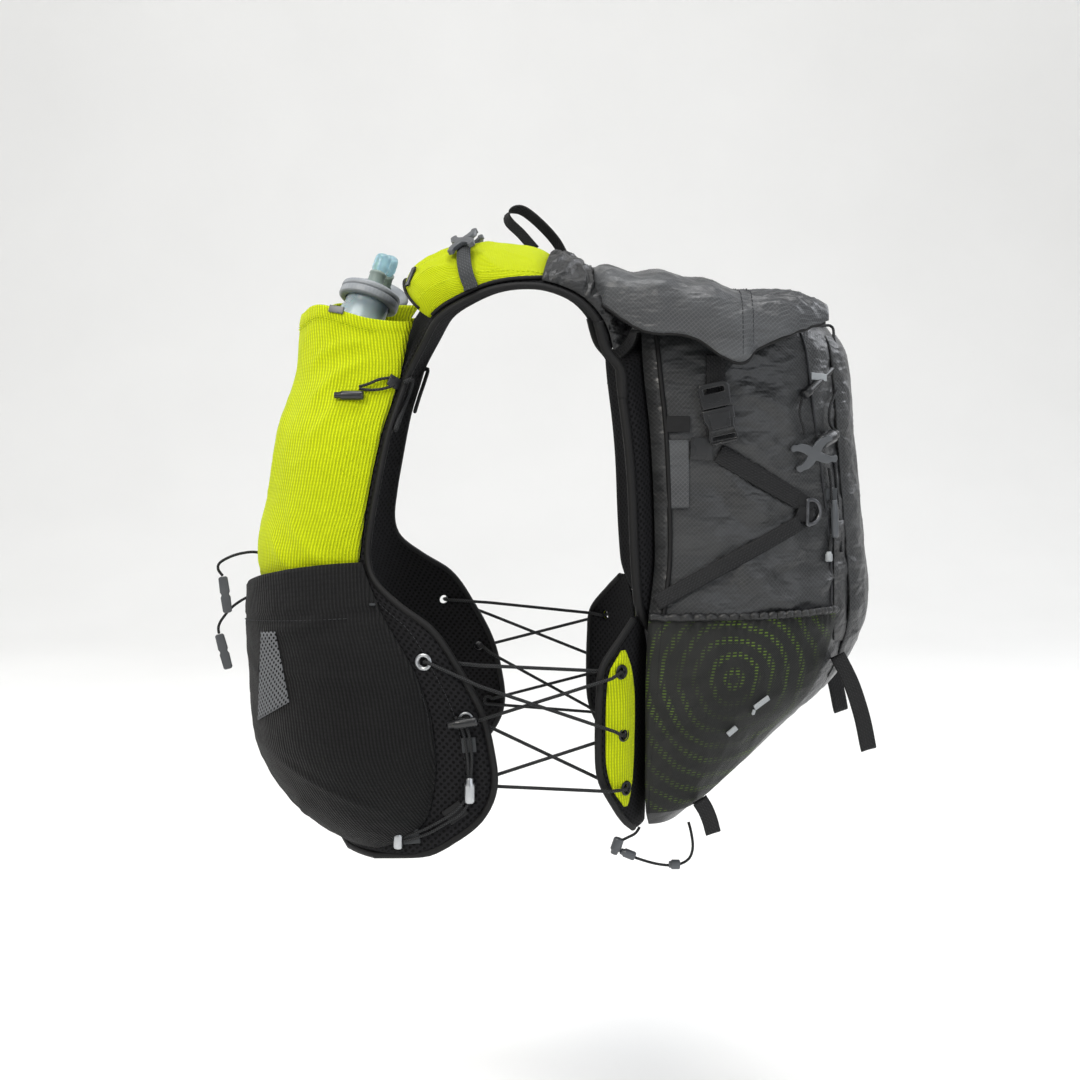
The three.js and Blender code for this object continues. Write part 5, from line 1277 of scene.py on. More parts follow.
def pouch_point(place, u, inset=0.0):
    bulge, low, high = between(POUCH, place)
    trim = inset / KNIT * 0.02
    rise = max(bulge * POUCH_DEPTH - inset, 0.2) * pocket_profile(u, 2.2)
    return strap_point(place, mix(low + trim, high - trim, u), POCKET_BASE + rise)


def make_pouches():
    places = steps(72, 1.75, 5.8)
    across = [0.5 - 0.5 * cos(pi * u) for u in steps(44)]
    outer, inner = [], []
    for place in places:
        v = (place - 1.75) / 4.05
        bulge = between(POUCH, place)[0]
        out_row, in_row = [], []
        for u in across:
            here = pouch_point(place, u)
            way = strap_normal(place, u)
            hold = smooth(min(u, 1 - u) / 0.12) * smooth(min(v, 1 - v) / 0.05) * clamp(bulge * 1.6)
            lift = (crease((u, v), POUCH_FOLDS) + crumple(here, 20, 1.1)) * hold
            out_row.append(here + way * lift)
            in_row.append(pouch_point(place, u, KNIT) + way * lift)
        outer.append(out_row)
        inner.append(in_row)
    pouch = sheet("strap_pouch", outer, inner)
    held_cloth(both_sides(pouch, "lime_smooth", "shoulder_pouch"), pair("harness"))
    zip_route = [pouch_point(1.8, u) + Vector((0, -0.8, 0.4)) for u in steps(60, 0.03, 0.97)]
    teeth = tube("pouch_zip", zip_route, 3.4, 10, squash=0.6)
    both_sides(teeth, "binding")
    edge = [pouch_point(place, 1) + Vector((0, 0, 0.3)) for place in places[2:-2]]
    both_sides(tube("pouch_piping", curve_route(edge, 90), 3, 8), "binding")
    normals = [strap_normal(place, 0.9) for place in places]
    row = [pouch_point(place, 0.93) + strap_normal(place, 0.93) * 0.3 for place in places]
    both_sides(stitches("pouch_stitching", row, normals), "lime_thread")
    return pouch


PACK_FOOT, PACK_TOP = 0.955, 0.035
REAR_POCKET_EDGE = 0.72
NET_TOP, NET_FOOT, NET_REACH = 0.57, 0.93, 0.6
PACK_FOLDS = (
    # y1, z1, y2, z2, width, height of a fold on the bag's side
    (150, -95, 205, -150, 5, 2.4), (140, -120, 200, -175, 6, 2.0), (120, -150, 190, -215, 7, 2.4),
    (105, -190, 170, -240, 7, 2.0), (150, -200, 215, -170, 5, 2.2), (100, -240, 200, -228, 6, 2.2),
    (110, -80, 160, -90, 6, 1.8), (170, -70, 215, -110, 5, 1.8), (180, -190, 225, -240, 6, -2.0),
    (125, -110, 165, -170, 5, -2.2), (95, -140, 120, -215, 6, 1.8), (205, -90, 228, -170, 6, 1.6),
    (112, -120, 172, -98, 4, 2.0), (150, -60, 196, -82, 4, 2.0), (118, -170, 160, -205, 4, -2.2),
    (185, -215, 222, -196, 4, 2.0), (130, -225, 190, -208, 4, 1.8), (98, -95, 112, -150, 4, 1.8),
)


# Lines where webbing presses on the bag's side: y1, z1, y2, z2
SIDE_STRAP_LINES = (
    (135, -102, 199, -144), (88, -209, 200, -147), (133, -40, 133, -112), (200, -50, 205, -205),
    (103, -100, 103, -150),
)


def off_line(spot, line):
    y1, z1, y2, z2 = line
    along, rise = y2 - y1, z2 - z1
    t = clamp(((spot.y - y1) * along + (spot.z - z1) * rise) / (along * along + rise * rise))
    return hypot(spot.y - y1 - t * along, spot.z - z1 - t * rise)


def with_mirror(half):
    """Row of points carried on past the middle to the wearer's right side."""
    return half + [Vector((-p.x, p.y, p.z)) for p in reversed(half[:-1])]


def pack_way(z, share):
    return (pack_side(z, share, 1) - pack_side(z, share)).normalized()


def make_bag():
    shares = [0, 0.03, 0.08] + steps(44, 0.12, 1)
    levels = steps(104, PACK_FOOT, PACK_TOP)
    front = steps(26)[1:-1]

    def side_spot(drop, share, inset):
        z = level(drop)
        here = pack_side(z, share, -inset)
        hold = smooth(share / 0.1) * smooth((PACK_FOOT - drop) / 0.04) * smooth((drop - PACK_TOP) / 0.03)
        lift = crease((here.y, here.z), PACK_FOLDS) + crumple(here, 24, 1.5, 0.6)
        if drop > NET_TOP and share < NET_REACH + 0.02:
            lift = min(lift, 0) - 0.4
        pressed = min(off_line(here, line) for line in SIDE_STRAP_LINES)
        lift = lift * hold * 1.25 * smooth(pressed / 14) - 0.5 * (1 - smooth(pressed / 9))
        return here + pack_way(z, share) * lift

    def ring(drop, inset):
        z = level(drop)
        corner = between(PACK, drop)[0]
        found = with_mirror([side_spot(drop, share, inset) for share in shares])
        trim = 1.2 if inset else 0
        for u in front:
            found.append(body_point(z, mix(180 - corner - trim, corner + trim, u), PACK_FRONT + inset))
        return found

    outer = [ring(drop, 0) for drop in levels]
    inner = [ring(min(drop, 0.9447), 2) for drop in levels]
    count = len(outer[0])
    spots = [p for r in outer for p in r] + [p for r in inner for p in r]
    along = [(PACK_FOOT - drop) * VEST_DROP * MM for drop in levels]
    across = [length * MM for length in run_lengths(outer[60])]
    uvs = [(x, y) for y in along for x in across] * 2
    quads, inside = ring_faces(len(outer), count), len(outer) * count
    faces = quads + [tuple(inside + corner for corner in quad[::-1]) for quad in quads]
    rim, deep = (len(outer) - 1) * count, (2 * len(outer) - 1) * count
    for s in range(count):
        faces.append((rim + s, rim + (s + 1) % count, deep + (s + 1) % count, deep + s))
    faces.append(tuple(range(count))[::-1])
    faces.append(tuple(len(outer) * count + s for s in range(count)))
    bag = mesh_object("bag_cloth", spots, faces, uvs)
    return finish_piece(bag, "ripstop", ("pack_body",))


def make_rear_pocket():
    def raised(drop, share, inset):
        bulge = max(between(REAR_POCKET, drop)[0] * REAR_POCKET_DEPTH - inset, 0.2)
        u = (1 - share) / (1 - REAR_POCKET_EDGE)
        return pack_side(level(drop), share, 2 * CLEARANCE + bulge * (1 - u ** 4))

    def strip(inset):
        rows = []
        for drop in steps(70, 0.075, 0.73):
            half = []
            for share in steps(22, REAR_POCKET_EDGE, 1):
                here = raised(drop, share, inset)
                hold = smooth((share - REAR_POCKET_EDGE) / 0.03) * smooth((0.73 - drop) / 0.03)
                half.append(here + Vector((0, crumple(here, 22, 1.4, 0.6) * hold, 0)))
            rows.append(with_mirror(half))
        return rows
    rear = finish_piece(sheet("rear_cloth", strip(0), strip(KNIT)), "ripstop", ("rear_pocket",))
    held_cloth([rear], ["pack_body"])


def make_nets():
    def net(drop, share, inset):
        swell = sin(pi * share / NET_REACH) * sin(pi * (0.97 - drop) / 0.42)
        z = level(drop)
        here = pack_side(z, share, 2 * CLEARANCE + KNIT + 3 * swell - inset)
        hold = smooth(min(share, NET_REACH - share) / 0.05) * smooth((NET_FOOT - drop) / 0.03)
        gather = 0.9 * sin(share * 210) * smooth((0.61 - drop) / 0.04)
        return here + pack_way(z, share) * ((crumple(here, 26, 1.8) + gather) * hold)
    drops = steps(56, NET_TOP, NET_FOOT)
    shares = steps(64, 0, NET_REACH)
    net_cloth = sheet(
        "net_pocket", [[net(d, s, 0) for s in shares] for d in drops],
        [[net(d, s, KNIT) for s in shares] for d in drops])
    nets = both_sides(net_cloth, "dark_mesh", "mesh_pocket")
    held_cloth(nets, ["pack_body", "pack_body"])
    hem = [net(NET_TOP, s, -0.6) + UP * (0.5 * sin(s * 210)) for s in steps(180, 0, NET_REACH)]
    both_sides(tube("net_elastic", hem, 5.2, 10), "yoke")
    return net_cloth


def make_bag_seams(bag):
    seam = laid_route(bag, (
        (799, 330), (806, 353), (814, 417), (822, 480), (829, 539), (831, 600), (826, 632)), 0.4, 70)
    both_sides(tube("bag_side_seam", seam, 2, 8, squash=0.7), "thread")
    corner = [pack_side(level(drop), 0.02, 0.5) for drop in steps(50, 0.06, 0.93)]
    both_sides(tube("bag_front_piping", curve_route(corner, 90), 3.4, 8), "binding")
    gusset = laid_sheet("bag_gusset", bag, ((833, 520), (843, 520), (845, 640), (833, 640)), 0.5, 0.4)
    held_cloth(both_sides(gusset, "yoke"), ["pack_body", "pack_body"])


def make_lid():
    def lid(along, u, under):
        width, top, edge, thick = between(LID, along)
        width = width * LID_HALF_WIDTH - (2 if under else 0)
        x = width * copysign(abs(sin(u * pi / 2)) ** 0.75, u)
        fall = abs(u) ** 5
        sink = mix(thick, 0, fall) if under else 0
        here = Vector((x, LID_FRONT_Y + along * LID_LENGTH, mix(top, edge, fall) * VEST_DROP - sink))
        hold = smooth(min(along, 1 - along) / 0.04)
        roll = 1.6 * sin(along * pi * 9) * smooth((0.6 - along) / 0.1) * (1 - fall)
        gather = 1.1 * sin(here.x * 0.9 + 2 * noise.noise(here / 20)) * smooth((along - 0.6) / 0.05)
        pull = crumple(here, 22, 1.8, 0.7) - 9 * exp(-((along - 0.62) / 0.2) ** 2)
        return here + UP * ((roll + gather + pull) * hold * (1 - 0.6 * fall))
    rows, columns = steps(84), steps(110, -1, 1)
    cloth = sheet(
        "lid_cloth", [[lid(a, u, False) for u in columns] for a in rows],
        [[lid(a, u, True) for u in columns] for a in rows])
    held_cloth([finish_piece(cloth, "lid", ("roll_top",))], ["pack_body"])
    rim = [lid(a, 1, True) + Vector((0.4, 0, -0.4)) for a in steps(60, 0.02, 0.98)]
    both_sides(tube("lid_hem", curve_route(rim, 120), 3, 8), "binding")
    for index, along in enumerate((0.62, 0.665)):
        route = [lid(along, u, False) + UP * 0.35 for u in steps(220, -0.98, 0.98)]
        row = stitches(f"lid_stitching_{index}", route, [UP] * len(route))
        finish_piece(row, "thread")


def make_yoke():
    half = 0.367 * CHEST_HALF_WIDTH - 4 * CLEARANCE

    def yoke(v, u, offset):
        y = mix(0.11 * CHEST_BACK_DEPTH - 14 * u * u, LID_FRONT_Y - 2, v)
        z = mix(31 - 4 * u * u, 13, v) + 2 * sin(pi * v)
        return Vector((u * half, y, z - 2 + offset))

    def gathers(u, v, spot):
        return 1.5 * sin(spot.x * 0.62 + 3 * noise.noise(spot / 18)) + crumple(spot, 12, 1.0, 0.6)
    neck = padded_sheet("yoke_cloth", yoke, steps(44), steps(90, -1, 1), 2, gathers)
    held_cloth([finish_piece(neck, "yoke", ("neck_yoke",))], ["back_panel"])


def make_strap_covers():
    def cover(v, u, offset):
        rise = mix(10, 5, v) * pocket_profile(u, 2.4) * (0.5 + 0.5 * smooth(v / 0.12))
        return strap_point(mix(5.65, 8.9, v), mix(0.04, 0.96, u), POCKET_BASE + rise + offset)

    def pleats(u, v, spot):
        return 1.2 * sin(v * 46 + 5 * noise.noise(spot / 16)) + crumple(spot, 10, 1.4, 0.7)
    shoulder = padded_sheet("strap_cover", cover, steps(70), steps(36), 0.6, pleats)
    held_cloth(both_sides(shoulder, "yoke"), pair("harness"))


BUCKLE_SEAT = (137, 0.2)
RING_SEAT = (200, 0.39)
HOOK_PLACE = 3.4


def side_path(start, end, rise):
    path = []
    for u in steps(40):
        y, z = mix(start[0], end[0], u), -mix(start[1], end[1], u) * VEST_DROP
        path.append((pack_at(y, z, rise), pack_normal(y, z)))
    return path


def loop_path(points, count, facing):
    route = curve_route(points, count)
    path = []
    for i, here in enumerate(route):
        along = (route[min(i + 1, count)] - route[max(i - 1, 0)]).normalized()
        path.append((here, along.cross(facing).normalized()))
    return path


def hanging_points(share, drop, reach, fall, rise, spread):
    top = pack_side(level(drop), share, rise)
    legs = ((0.5, 0, 0), (0.5, 0.45, 0.3), (0.5, 0.8, 0.65), (0.5, 1, 0.95), (0, 1.02, 1),
            (-0.5, 1, 0.95), (-0.5, 0.8, 0.65), (-0.5, 0.45, 0.3), (-0.5, 0, 0))
    return [top + Vector((side * spread, out * reach, -down * fall)) for side, out, down in legs]


def pouch_webbing_path():
    bulge = between(POUCH, HOOK_PLACE)[0] * POUCH_DEPTH
    path = []
    for u in steps(30, 0.3, 1):
        rise = POCKET_BASE + bulge * pocket_profile(clamp((u - 0.02) / 0.93), 2.2) + 9 * CLEARANCE
        path.append((strap_point(HOOK_PLACE, u, rise), strap_normal(HOOK_PLACE, u)))
    return path


def make_webbing():
    ring_y, ring_drop = RING_SEAT
    facing = Vector((0.1, 0.93, 0.35)).normalized()
    rows = (
        ("upper_webbing", side_path((139, 0.28), (ring_y - 4, ring_drop - 0.022), 1), 13, "upper_strap"),
        ("lower_webbing", side_path((96, 0.545), (ring_y - 4, ring_drop + 0.018), 1.6), 11, "lower_strap"),
        ("lid_webbing", side_path((BUCKLE_SEAT[0], 0.106), (BUCKLE_SEAT[0], 0.25), 1), 13, "lid_strap"),
        ("tail_webbing", loop_path(hanging_points(0.66, 0.66, 22, 66, 5.2, 5), 90, facing), 11, "tail_loop"),
        ("pole_webbing", loop_path(hanging_points(0.38, 0.915, 9, 22, 7.3, 5), 60, facing), 11, "pole_loop"),
    )
    for name, path, width, stem in rows:
        both_sides(band(name, path, width), "webbing", stem)
    both_sides(
        band("shoulder_band", pouch_webbing_path(), 10), "grey_webbing",
        "shoulder_webbing")
    haul = [Vector((0, y, z)) for y, z in (
        (35, 25.2), (28, 38), (16, 51), (4, 60), (-4, 59), (-5, 53), (4, 44), (14, 32.6))]
    haul_facing = Vector((0.75, 0.43, 0.5)).normalized()
    haul_loop = band("haul_webbing", loop_path(haul, 60, haul_facing), 10)
    finish_piece(haul_loop, "webbing", ("haul_loop",))


def arc(cx, cy, radius, start, end, count):
    return [
        (cx + radius * cos(radians(a)), cy + radius * sin(radians(a)))
        for a in steps(count, start, end)]


def on_bag(y, drop, rise, along):
    z = level(drop)
    return frame_matrix(pack_at(y, z, rise), along, pack_normal(y, z))


def hook_outline(span):
    half, prong, waist, found = span / 2, span * 0.1, span * 0.17, []
    for i in range(4):
        turn = pi / 4 + i * pi / 2
        out = Vector((cos(turn), sin(turn)))
        side = Vector((-out.y, out.x))
        curl = 0.25 if i % 2 else -0.25
        root, elbow = out * half * 0.5, out * half * 0.8 + side * half * curl * 0.3
        tip = out * half * 0.98 + side * half * curl
        for spot, width in ((root, -1.1), (elbow, -1.0), (tip, -0.9)):
            found.append(tuple(spot + side * width * prong))
        for a in (-60, -20, 20, 60):
            end, wide = cos(radians(a)), sin(radians(a))
            found.append(tuple(tip + out * end * prong * 0.9 + side * wide * prong))
        for spot, width in ((tip, 0.9), (elbow, 1.0), (root, 1.1)):
            found.append(tuple(spot + side * width * prong))
        after = turn + pi / 4
        found.append((cos(after) * waist, sin(after) * waist))
    return found


def make_buckles():
    along = Vector((0, 1, 0.22))
    z_rise = 1 + WEBBING + 3 + 5 * CLEARANCE
    y, drop = BUCKLE_SEAT
    matrix = on_bag(y, drop, z_rise, along)
    w, l = 11, 24.4
    socket = [(-w, 0)] + [(-w, -l * 0.28), (-w + 1.6, -l * 0.42), (-w + 2, -l * 0.56), (-w + 0.8, -l * 0.78)]
    socket += [(-w + 1.4, -l + 2), (-w + 3.4, -l), (w - 3.4, -l), (w - 1.4, -l + 2)]
    socket += [(w - 0.8, -l * 0.78), (w - 2, -l * 0.56), (w - 1.6, -l * 0.42), (w, -l * 0.28), (w, 0)]
    bar = [(-w + 3.2, -l + 3), (w - 3.2, -l + 3), (w - 3.2, -l + 5.6), (-w + 3.2, -l + 5.6)]
    pieces = [plate("socket", socket, 6, matrix, 1.1, (bar,))]
    ridge = [(-w + 3.4, -3), (w - 3.4, -3), (w - 4.4, -l * 0.56), (-w + 4.4, -l * 0.56)]
    pieces.append(plate("socket_ridge", ridge, 1.2, matrix @ Matrix.Translation((0, 0, 3.1)), 0.5))
    both_sides(joined("buckle_socket", pieces), "buckle", "buckle_body")
    matrix = on_bag(y, drop - 2 * CLEARANCE / VEST_DROP, z_rise, along)
    l = 17.3
    prong = [(-w + 1, 0), (-w, l - 4), (-w + 2, l), (w - 2, l), (w, l - 4), (w - 1, 0)]
    slot = [(-w + 4, l - 3.5), (w - 4, l - 3.5), (w - 4, l - 7), (-w + 4, l - 7)]
    pieces = [plate("prong", prong, 4.8, matrix, 0.9, (slot,))]
    for x in (-1, 1):
        side = [(x * 10.4, -1.5), (x * 11, -9), (x * 8.8, -10), (x * 8.4, -1.5)][::x]
        pieces.append(plate("latch", side, 4.2, matrix, 0.7))
    both_sides(joined("buckle_latch", pieces), "buckle", "buckle_prong")


def make_rings_and_hooks():
    matrix = on_bag(*RING_SEAT, 1.5 + 3 * CLEARANCE, -UP)
    half = 10 - 1.5
    outline = [(-half, 1.5), (0, 1.5), (half, 1.5)] + arc(0, 4, half, 0, 180, 14)
    smooth_loop = curve_route([matrix @ Vector((x, y, 0)) for x, y in outline + outline[:1]], 72)
    both_sides(tube("wire_ring", smooth_loop[:-1], 3, 14, closed=True), "wire", "d_ring")
    bulge = between(POUCH, HOOK_PLACE)[0] * POUCH_DEPTH
    across = strap_point(HOOK_PLACE, 1) - strap_point(HOOK_PLACE, 0)
    spot = strap_point(HOOK_PLACE, 0.5, POCKET_BASE + bulge + WEBBING + 1.75 + 10 * CLEARANCE)
    matrix = frame_matrix(spot, across, strap_normal(HOOK_PLACE, 0.5))
    hook = plate("shoulder_star", hook_outline(28), 3.5, matrix, 0.9)
    both_sides(hook, "grey_plastic", "shoulder_hook")
    star = plate("rear_star", hook_outline(28), 3.5, on_bag(201, 0.283, 9.25, Vector((0, 1, 0.3))), 0.9)
    both_sides(star, "grey_plastic", "rear_hook")


def barrel(name, spot, along, length, diameter):
    r, half = diameter / 2, length / 2
    profile = (
        (0.01, -half), (r * 0.62, -half), (r * 0.7, -half + 0.4), (r * 0.72, -length * 0.32),
        (r * 0.98, -length * 0.24), (r, -length * 0.2), (r, length * 0.4), (r * 0.9, half - 0.3),
        (r * 0.75, half), (0.01, half))
    return lathe(name, profile, spot, along, along.orthogonal(), 32)


def between_marks(piece, start, end, lift):
    """Middle, direction and length between two image points on a piece."""
    a, n = seen_at(piece, *start)
    b, m = seen_at(piece, *end)
    a, b = a + n * lift, b + m * lift
    return (a + b) / 2, (b - a).normalized(), (b - a).length, n


# Pieces that carry small hardware, by their plain names
CARRIERS = {}

# Cord ends on the near side: carrier, start and end image points, lift, diameter, material
CORD_ENDS = (
    ("front", (470, 776), (470, 801), 4.2, 7.5, "ring"),
    ("front", (401, 828), (401, 846), 4.2, 6.5, "ring"),
    ("bag", (830, 500), (831, 537), 3.6, 5.2, "grey_plastic"),
    ("bag", (826, 552), (826, 562), 3.0, 5, "reflective"),
    ("bag", (837, 357), (844, 388), 4.4, 6.5, "buckle"),
    ("bag", (830, 436), (851, 436), 5.2, 10, "buckle"),
)
# Keepers and patches there: carrier, start and end image points, lift, width, material
KEEPERS = (
    ("front", (462, 745), (476, 744), 1.6, 10, "grey_webbing"),
    ("front", (447, 818), (464, 806), 1.6, 11, "webbing"),
    ("front", (400, 837), (420, 835), 1.6, 10, "grey_webbing"),
    ("bag", (690, 448), (712, 449), 2.8, 15, "buckle"),
    ("bag", (824, 494), (835, 494), 1.2, 8, "grey_webbing"),
    ("bag", (810, 376), (825, 378), 1.0, 5, "reflective"),
    ("net", (782, 728), (794, 722), 1.0, 4, "reflective"),
    ("net", (771, 739), (781, 735), 1.0, 4, "reflective"),
    ("net", (750, 756), (760, 753), 1.0, 4, "reflective"),
    ("bag", (666, 424), (690, 424), 1.8, 11, "webbing"),
    ("flask", (317, 299), (339, 299), 1.2, 5, "grey_plastic"),
    ("flask", (388, 380), (402, 385), 3, 8, "buckle"),
    ("bag", (796, 499), (811, 508), 2.4, 11, "webbing"),
    ("bag", (795, 511), (810, 517), 2.4, 10, "webbing"),
    ("chest", (369, 605), (375, 605), 0.5, 1.6, "grey_webbing"),
    ("pouch", (394, 283), (416, 269), 1.6, 4.5, "buckle"),
)
# Thin cords laid on the near side: carrier, lift, diameter, image points
LAID_CORDS = (
    ("front", 3.0, 2, ((456, 716), (463, 730), (466, 744), (468, 760), (469, 778))),
    ("front", 3.0, 2, ((460, 716), (468, 730), (471, 744), (472, 760), (471, 778))),
    ("front", 2.6, 2, ((466, 798), (458, 808), (444, 818), (428, 827), (412, 834), (402, 837))),
    ("front", 2.6, 2, ((470, 800), (462, 812), (446, 823), (430, 832), (414, 838), (404, 840))),
    ("flask", 2.4, 2, ((359, 388), (368, 385), (380, 380), (394, 378))),
    ("flask", 2.4, 2, ((359, 390), (369, 391), (381, 390), (394, 386))),
    ("bag", 2.6, 2, ((822, 318), (826, 328), (831, 342), (836, 358))),
    ("bag", 3.0, 2, ((833, 390), (826, 408), (826, 424), (834, 434))),
    ("bag", 3.0, 2, ((846, 392), (850, 410), (849, 425), (844, 434))),
    ("bag", 2.2, 2, ((826, 468), (828, 482), (829, 494), (830, 504))),
    ("bag", 2.0, 1.8, ((829, 535), (828, 544), (827, 553))),
)


def make_small_parts():
    groups = {}
    for carrier, start, end, lift, size, material in CORD_ENDS:
        spot, along, length, normal = between_marks(CARRIERS[carrier], start, end, lift)
        groups.setdefault(material, []).append(barrel("cord_end", spot, along, length, size))
    for carrier, start, end, lift, size, material in KEEPERS:
        spot, along, length, normal = between_marks(CARRIERS[carrier], start, end, lift)
        h, w = size / 2, length / 2
        outline = [(-w, -h), (w, -h), (w, h), (-w, h)]
        piece = plate("keeper", outline, 1.6, frame_matrix(spot, along, normal), 0.45)
        groups.setdefault(material, []).append(piece)
    marks = ((678, 440), (678, 474), (678, 508))
    groups["lid"] = [laid_band("side_label", CARRIERS["bag"], marks, 15, 0.7, 0.7)]
    for material, pieces in groups.items():
        both_sides(joined(f"fittings_{material}", pieces), material)


def make_laid_cords():
    cords = [
        tube(f"laid_{i}", laid_route(CARRIERS[carrier], marks, lift, 40), diameter, 10)
        for i, (carrier, lift, diameter, marks) in enumerate(LAID_CORDS)]
    both_sides(joined("laid_cords", cords), "cord")
    loop = laid_route(CARRIERS["front"], (
        (408, 384), (417, 382), (421, 396), (417, 416), (408, 436), (403, 428), (409, 405), (412, 392)),
        4, 60)
    both_sides(tube("hanging_cord_loop", loop, 3, 10), "cord")
    bungee = [pack_side(level(drop), 0.67, 1 + CLEARANCE) for drop in steps(30, 0.29, 0.47)]
    both_sides(tube("bungee_cord", bungee, 2, 12), "cord", "rear_bungee")


def lace_route():
    out = 1.2 + 3 * CLEARANCE
    front_out, wing_out, inside = PANEL + out, WING + CLEARANCE + LENS + out + 1.6, -out

    def place(name, offset, turn):
        angle, drop = EYELETS.get(name, name)
        return body_point(level(drop), angle + turn, offset)

    def run(start, end, low, high, lift):
        a, b = EYELETS.get(start, start), EYELETS[end]
        edges = (-5, 27.5) if b[0] > a[0] else (27.5, -5)
        found = []
        for angle, offset in zip(edges, (low, high)):
            t = clamp((angle - a[0]) / (b[0] - a[0]), 0.04, 0.96)
            found.append(body_point(-mix(a[1], b[1], t) * VEST_DROP, mix(a[0], b[0], t), offset + lift))
        return found

    def through(name, low, high, turn):
        way = copysign(0.9, high - low)
        return [place(name, low, turn), place(name, low + way, turn * 0.2),
                place(name, high - way, turn * 0.2), place(name, high, turn)]
    turn_high, turn_low = (-6, 0.842), (-6, 0.858)
    return [
        place("front_toggle", front_out + 2.5, 3.2),
        *run("front_toggle", "wing_top", front_out, wing_out, 1)[1:],
        *through("wing_top", wing_out, inside, -1.2), *run("wing_top", "front_top", inside, inside, 0),
        *through("front_top", inside, front_out, 1.2),
        *run("front_top", "wing_middle", front_out, wing_out, 5),
        *through("wing_middle", wing_out, inside, -1.2), *run("wing_middle", "front_turn", inside, inside, 0),
        place(turn_high, inside, 0.6), place(turn_high, inside, -0.3), place("front_turn", inside, -1),
        place(turn_low, inside, -0.3), place(turn_low, inside, 0.6),
        *run(turn_low, "wing_bottom", inside, wing_out, 0), *through("wing_bottom", wing_out, inside, -1.2),
        *run("wing_bottom", "front_toggle", inside, inside, -5),
        *through("front_toggle", inside, front_out, 1.2)[:3]]


def rounded_route(points, radius=1.2):
    """Straight runs with small rounded turns."""
    found = [points[0]]
    for before, here, after in zip(points, points[1:], points[2:]):
        a, b = before - here, after - here
        reach = min(radius, a.length * 0.4, b.length * 0.4)
        start, end = here + a.normalized() * reach, here + b.normalized() * reach
        found += [start.lerp(here, t).lerp(here.lerp(end, t), t) for t in steps(4)]
    return found + [points[-1]]


def make_lacing():
    lace = tube("lace_cord", rounded_route(lace_route()), 2.4, 14)
    both_sides(lace, "cord", "lacing")
    angle, drop = EYELETS["front_toggle"]
    end, far = [body_point(level(drop), angle + turn, PANEL + 4.6) for turn in (3.2, -4)]
    along = Vector((far.x - end.x, far.y - end.y, -3)).normalized()
    centre = end + along * 10.6 + ACROSS * 1.5
    both_sides(barrel("lace_lock", centre, -along, 20, 6.4), "buckle", "lace_toggle")


# Free cords in metres, each on the route that its solid follows
FRONT_UPPER_CORD = (
    (0.058, -0.177, -0.1826), (0.059, -0.187, -0.181), (0.061, -0.199, -0.183), (0.061, -0.209, -0.188),
    (0.060, -0.211, -0.193), (0.059, -0.208, -0.198))
FRONT_LOWER_CORD = (
    (0.048, -0.1789, -0.213), (0.048, -0.190, -0.214), (0.048, -0.202, -0.221), (0.049, -0.210, -0.230),
    (0.049, -0.213, -0.236), (0.048, -0.213, -0.241))
BOTTOM_CORD = (
    (0.094, 0.087, -0.3714), (0.094, 0.084, -0.376), (0.093, 0.077, -0.380), (0.092, 0.071, -0.384),
    (0.090, 0.074, -0.390), (0.090, 0.086, -0.395), (0.090, 0.100, -0.399), (0.089, 0.113, -0.400),
    (0.088, 0.122, -0.396), (0.087, 0.125, -0.388), (0.086, 0.124, -0.378), (0.085, 0.122, -0.370))


def free_cord(name, points, node):
    route = curve_route([Vector(p) / MM for p in points], 48)
    cord = finish_piece(tube(name, route, 2, 12), "cord", (node,))
    run_lengths(route)[-1] * MM


def pull_tab(name, top, lean, node):
    along = Vector((0, lean, -1)).normalized()
    centre = Vector(top) / MM + along * 13.6
    outline = [(-13, -2.2), (-12, -3.2), (-2, -3.5), (0, -2.6), (2, -3.5), (12, -3.2), (13, -2.2)]
    outline += [(x, -y) for x, y in reversed(outline)]
    tab = plate(name, outline, 2.4, frame_matrix(centre, along, ACROSS), 0.5)
    return finish_piece(tab, "grey_plastic", (node,))


def make_cords():
    upper = pull_tab("upper_puller", FRONT_UPPER_CORD[-1], 0.12, "pull_tab_upper")
    lower = pull_tab("lower_puller", FRONT_LOWER_CORD[-1], 0.25, "pull_tab_lower")
    free_cord("upper_front_cord", FRONT_UPPER_CORD, "front_cord_upper")
    free_cord("lower_front_cord", FRONT_LOWER_CORD, "front_cord_lower")
    lock = barrel("bottom_cord_lock", Vector((92, 71, -385.5)), Vector((0, 0.35, 1)), 12, 7.5)
    drop_end = barrel("bottom_cord_drop", Vector((90.2, 79, -391.6)), Vector((0, 1, -0.4)), 11, 6.5)
    bead = barrel("bottom_cord_bead", Vector((89, 112, -399.6)), Vector((0, 1, 0)), 8, 7)
    for piece in (lock, drop_end, bead):
        finish_piece(piece, "grey_plastic")
    free_cord("bottom_elastic", BOTTOM_CORD, "bottom_cord")


def make_chest_lock():
    places = [pocket_point(FLASK_POCKET, 0.175, u, FLASK_POCKET_DEPTH, 2.3) for u in (0.965, 0.905)]
    way = (places[0] - places[1]).normalized()
    face = -way.cross(UP)
    lock = barrel("chest_lock", places[0].lerp(places[1], 0.5) - face * 4.1, way, 20, 6.4)
    finish_piece(lock, "buckle", ("chest_toggle",))


def make_camera():
    data = bpy.data.cameras.new("camera")
    data.lens, data.sensor_width, data.sensor_fit = 36 * FOCAL / FRAME_SIZE, 36, "HORIZONTAL"
    camera = placed("camera", data)
    camera.location = view_place()
    camera.rotation_euler = (VIEW_TARGET - view_place()).to_track_quat("-Z", "Y").to_euler()
    bpy.context.scene.camera = camera


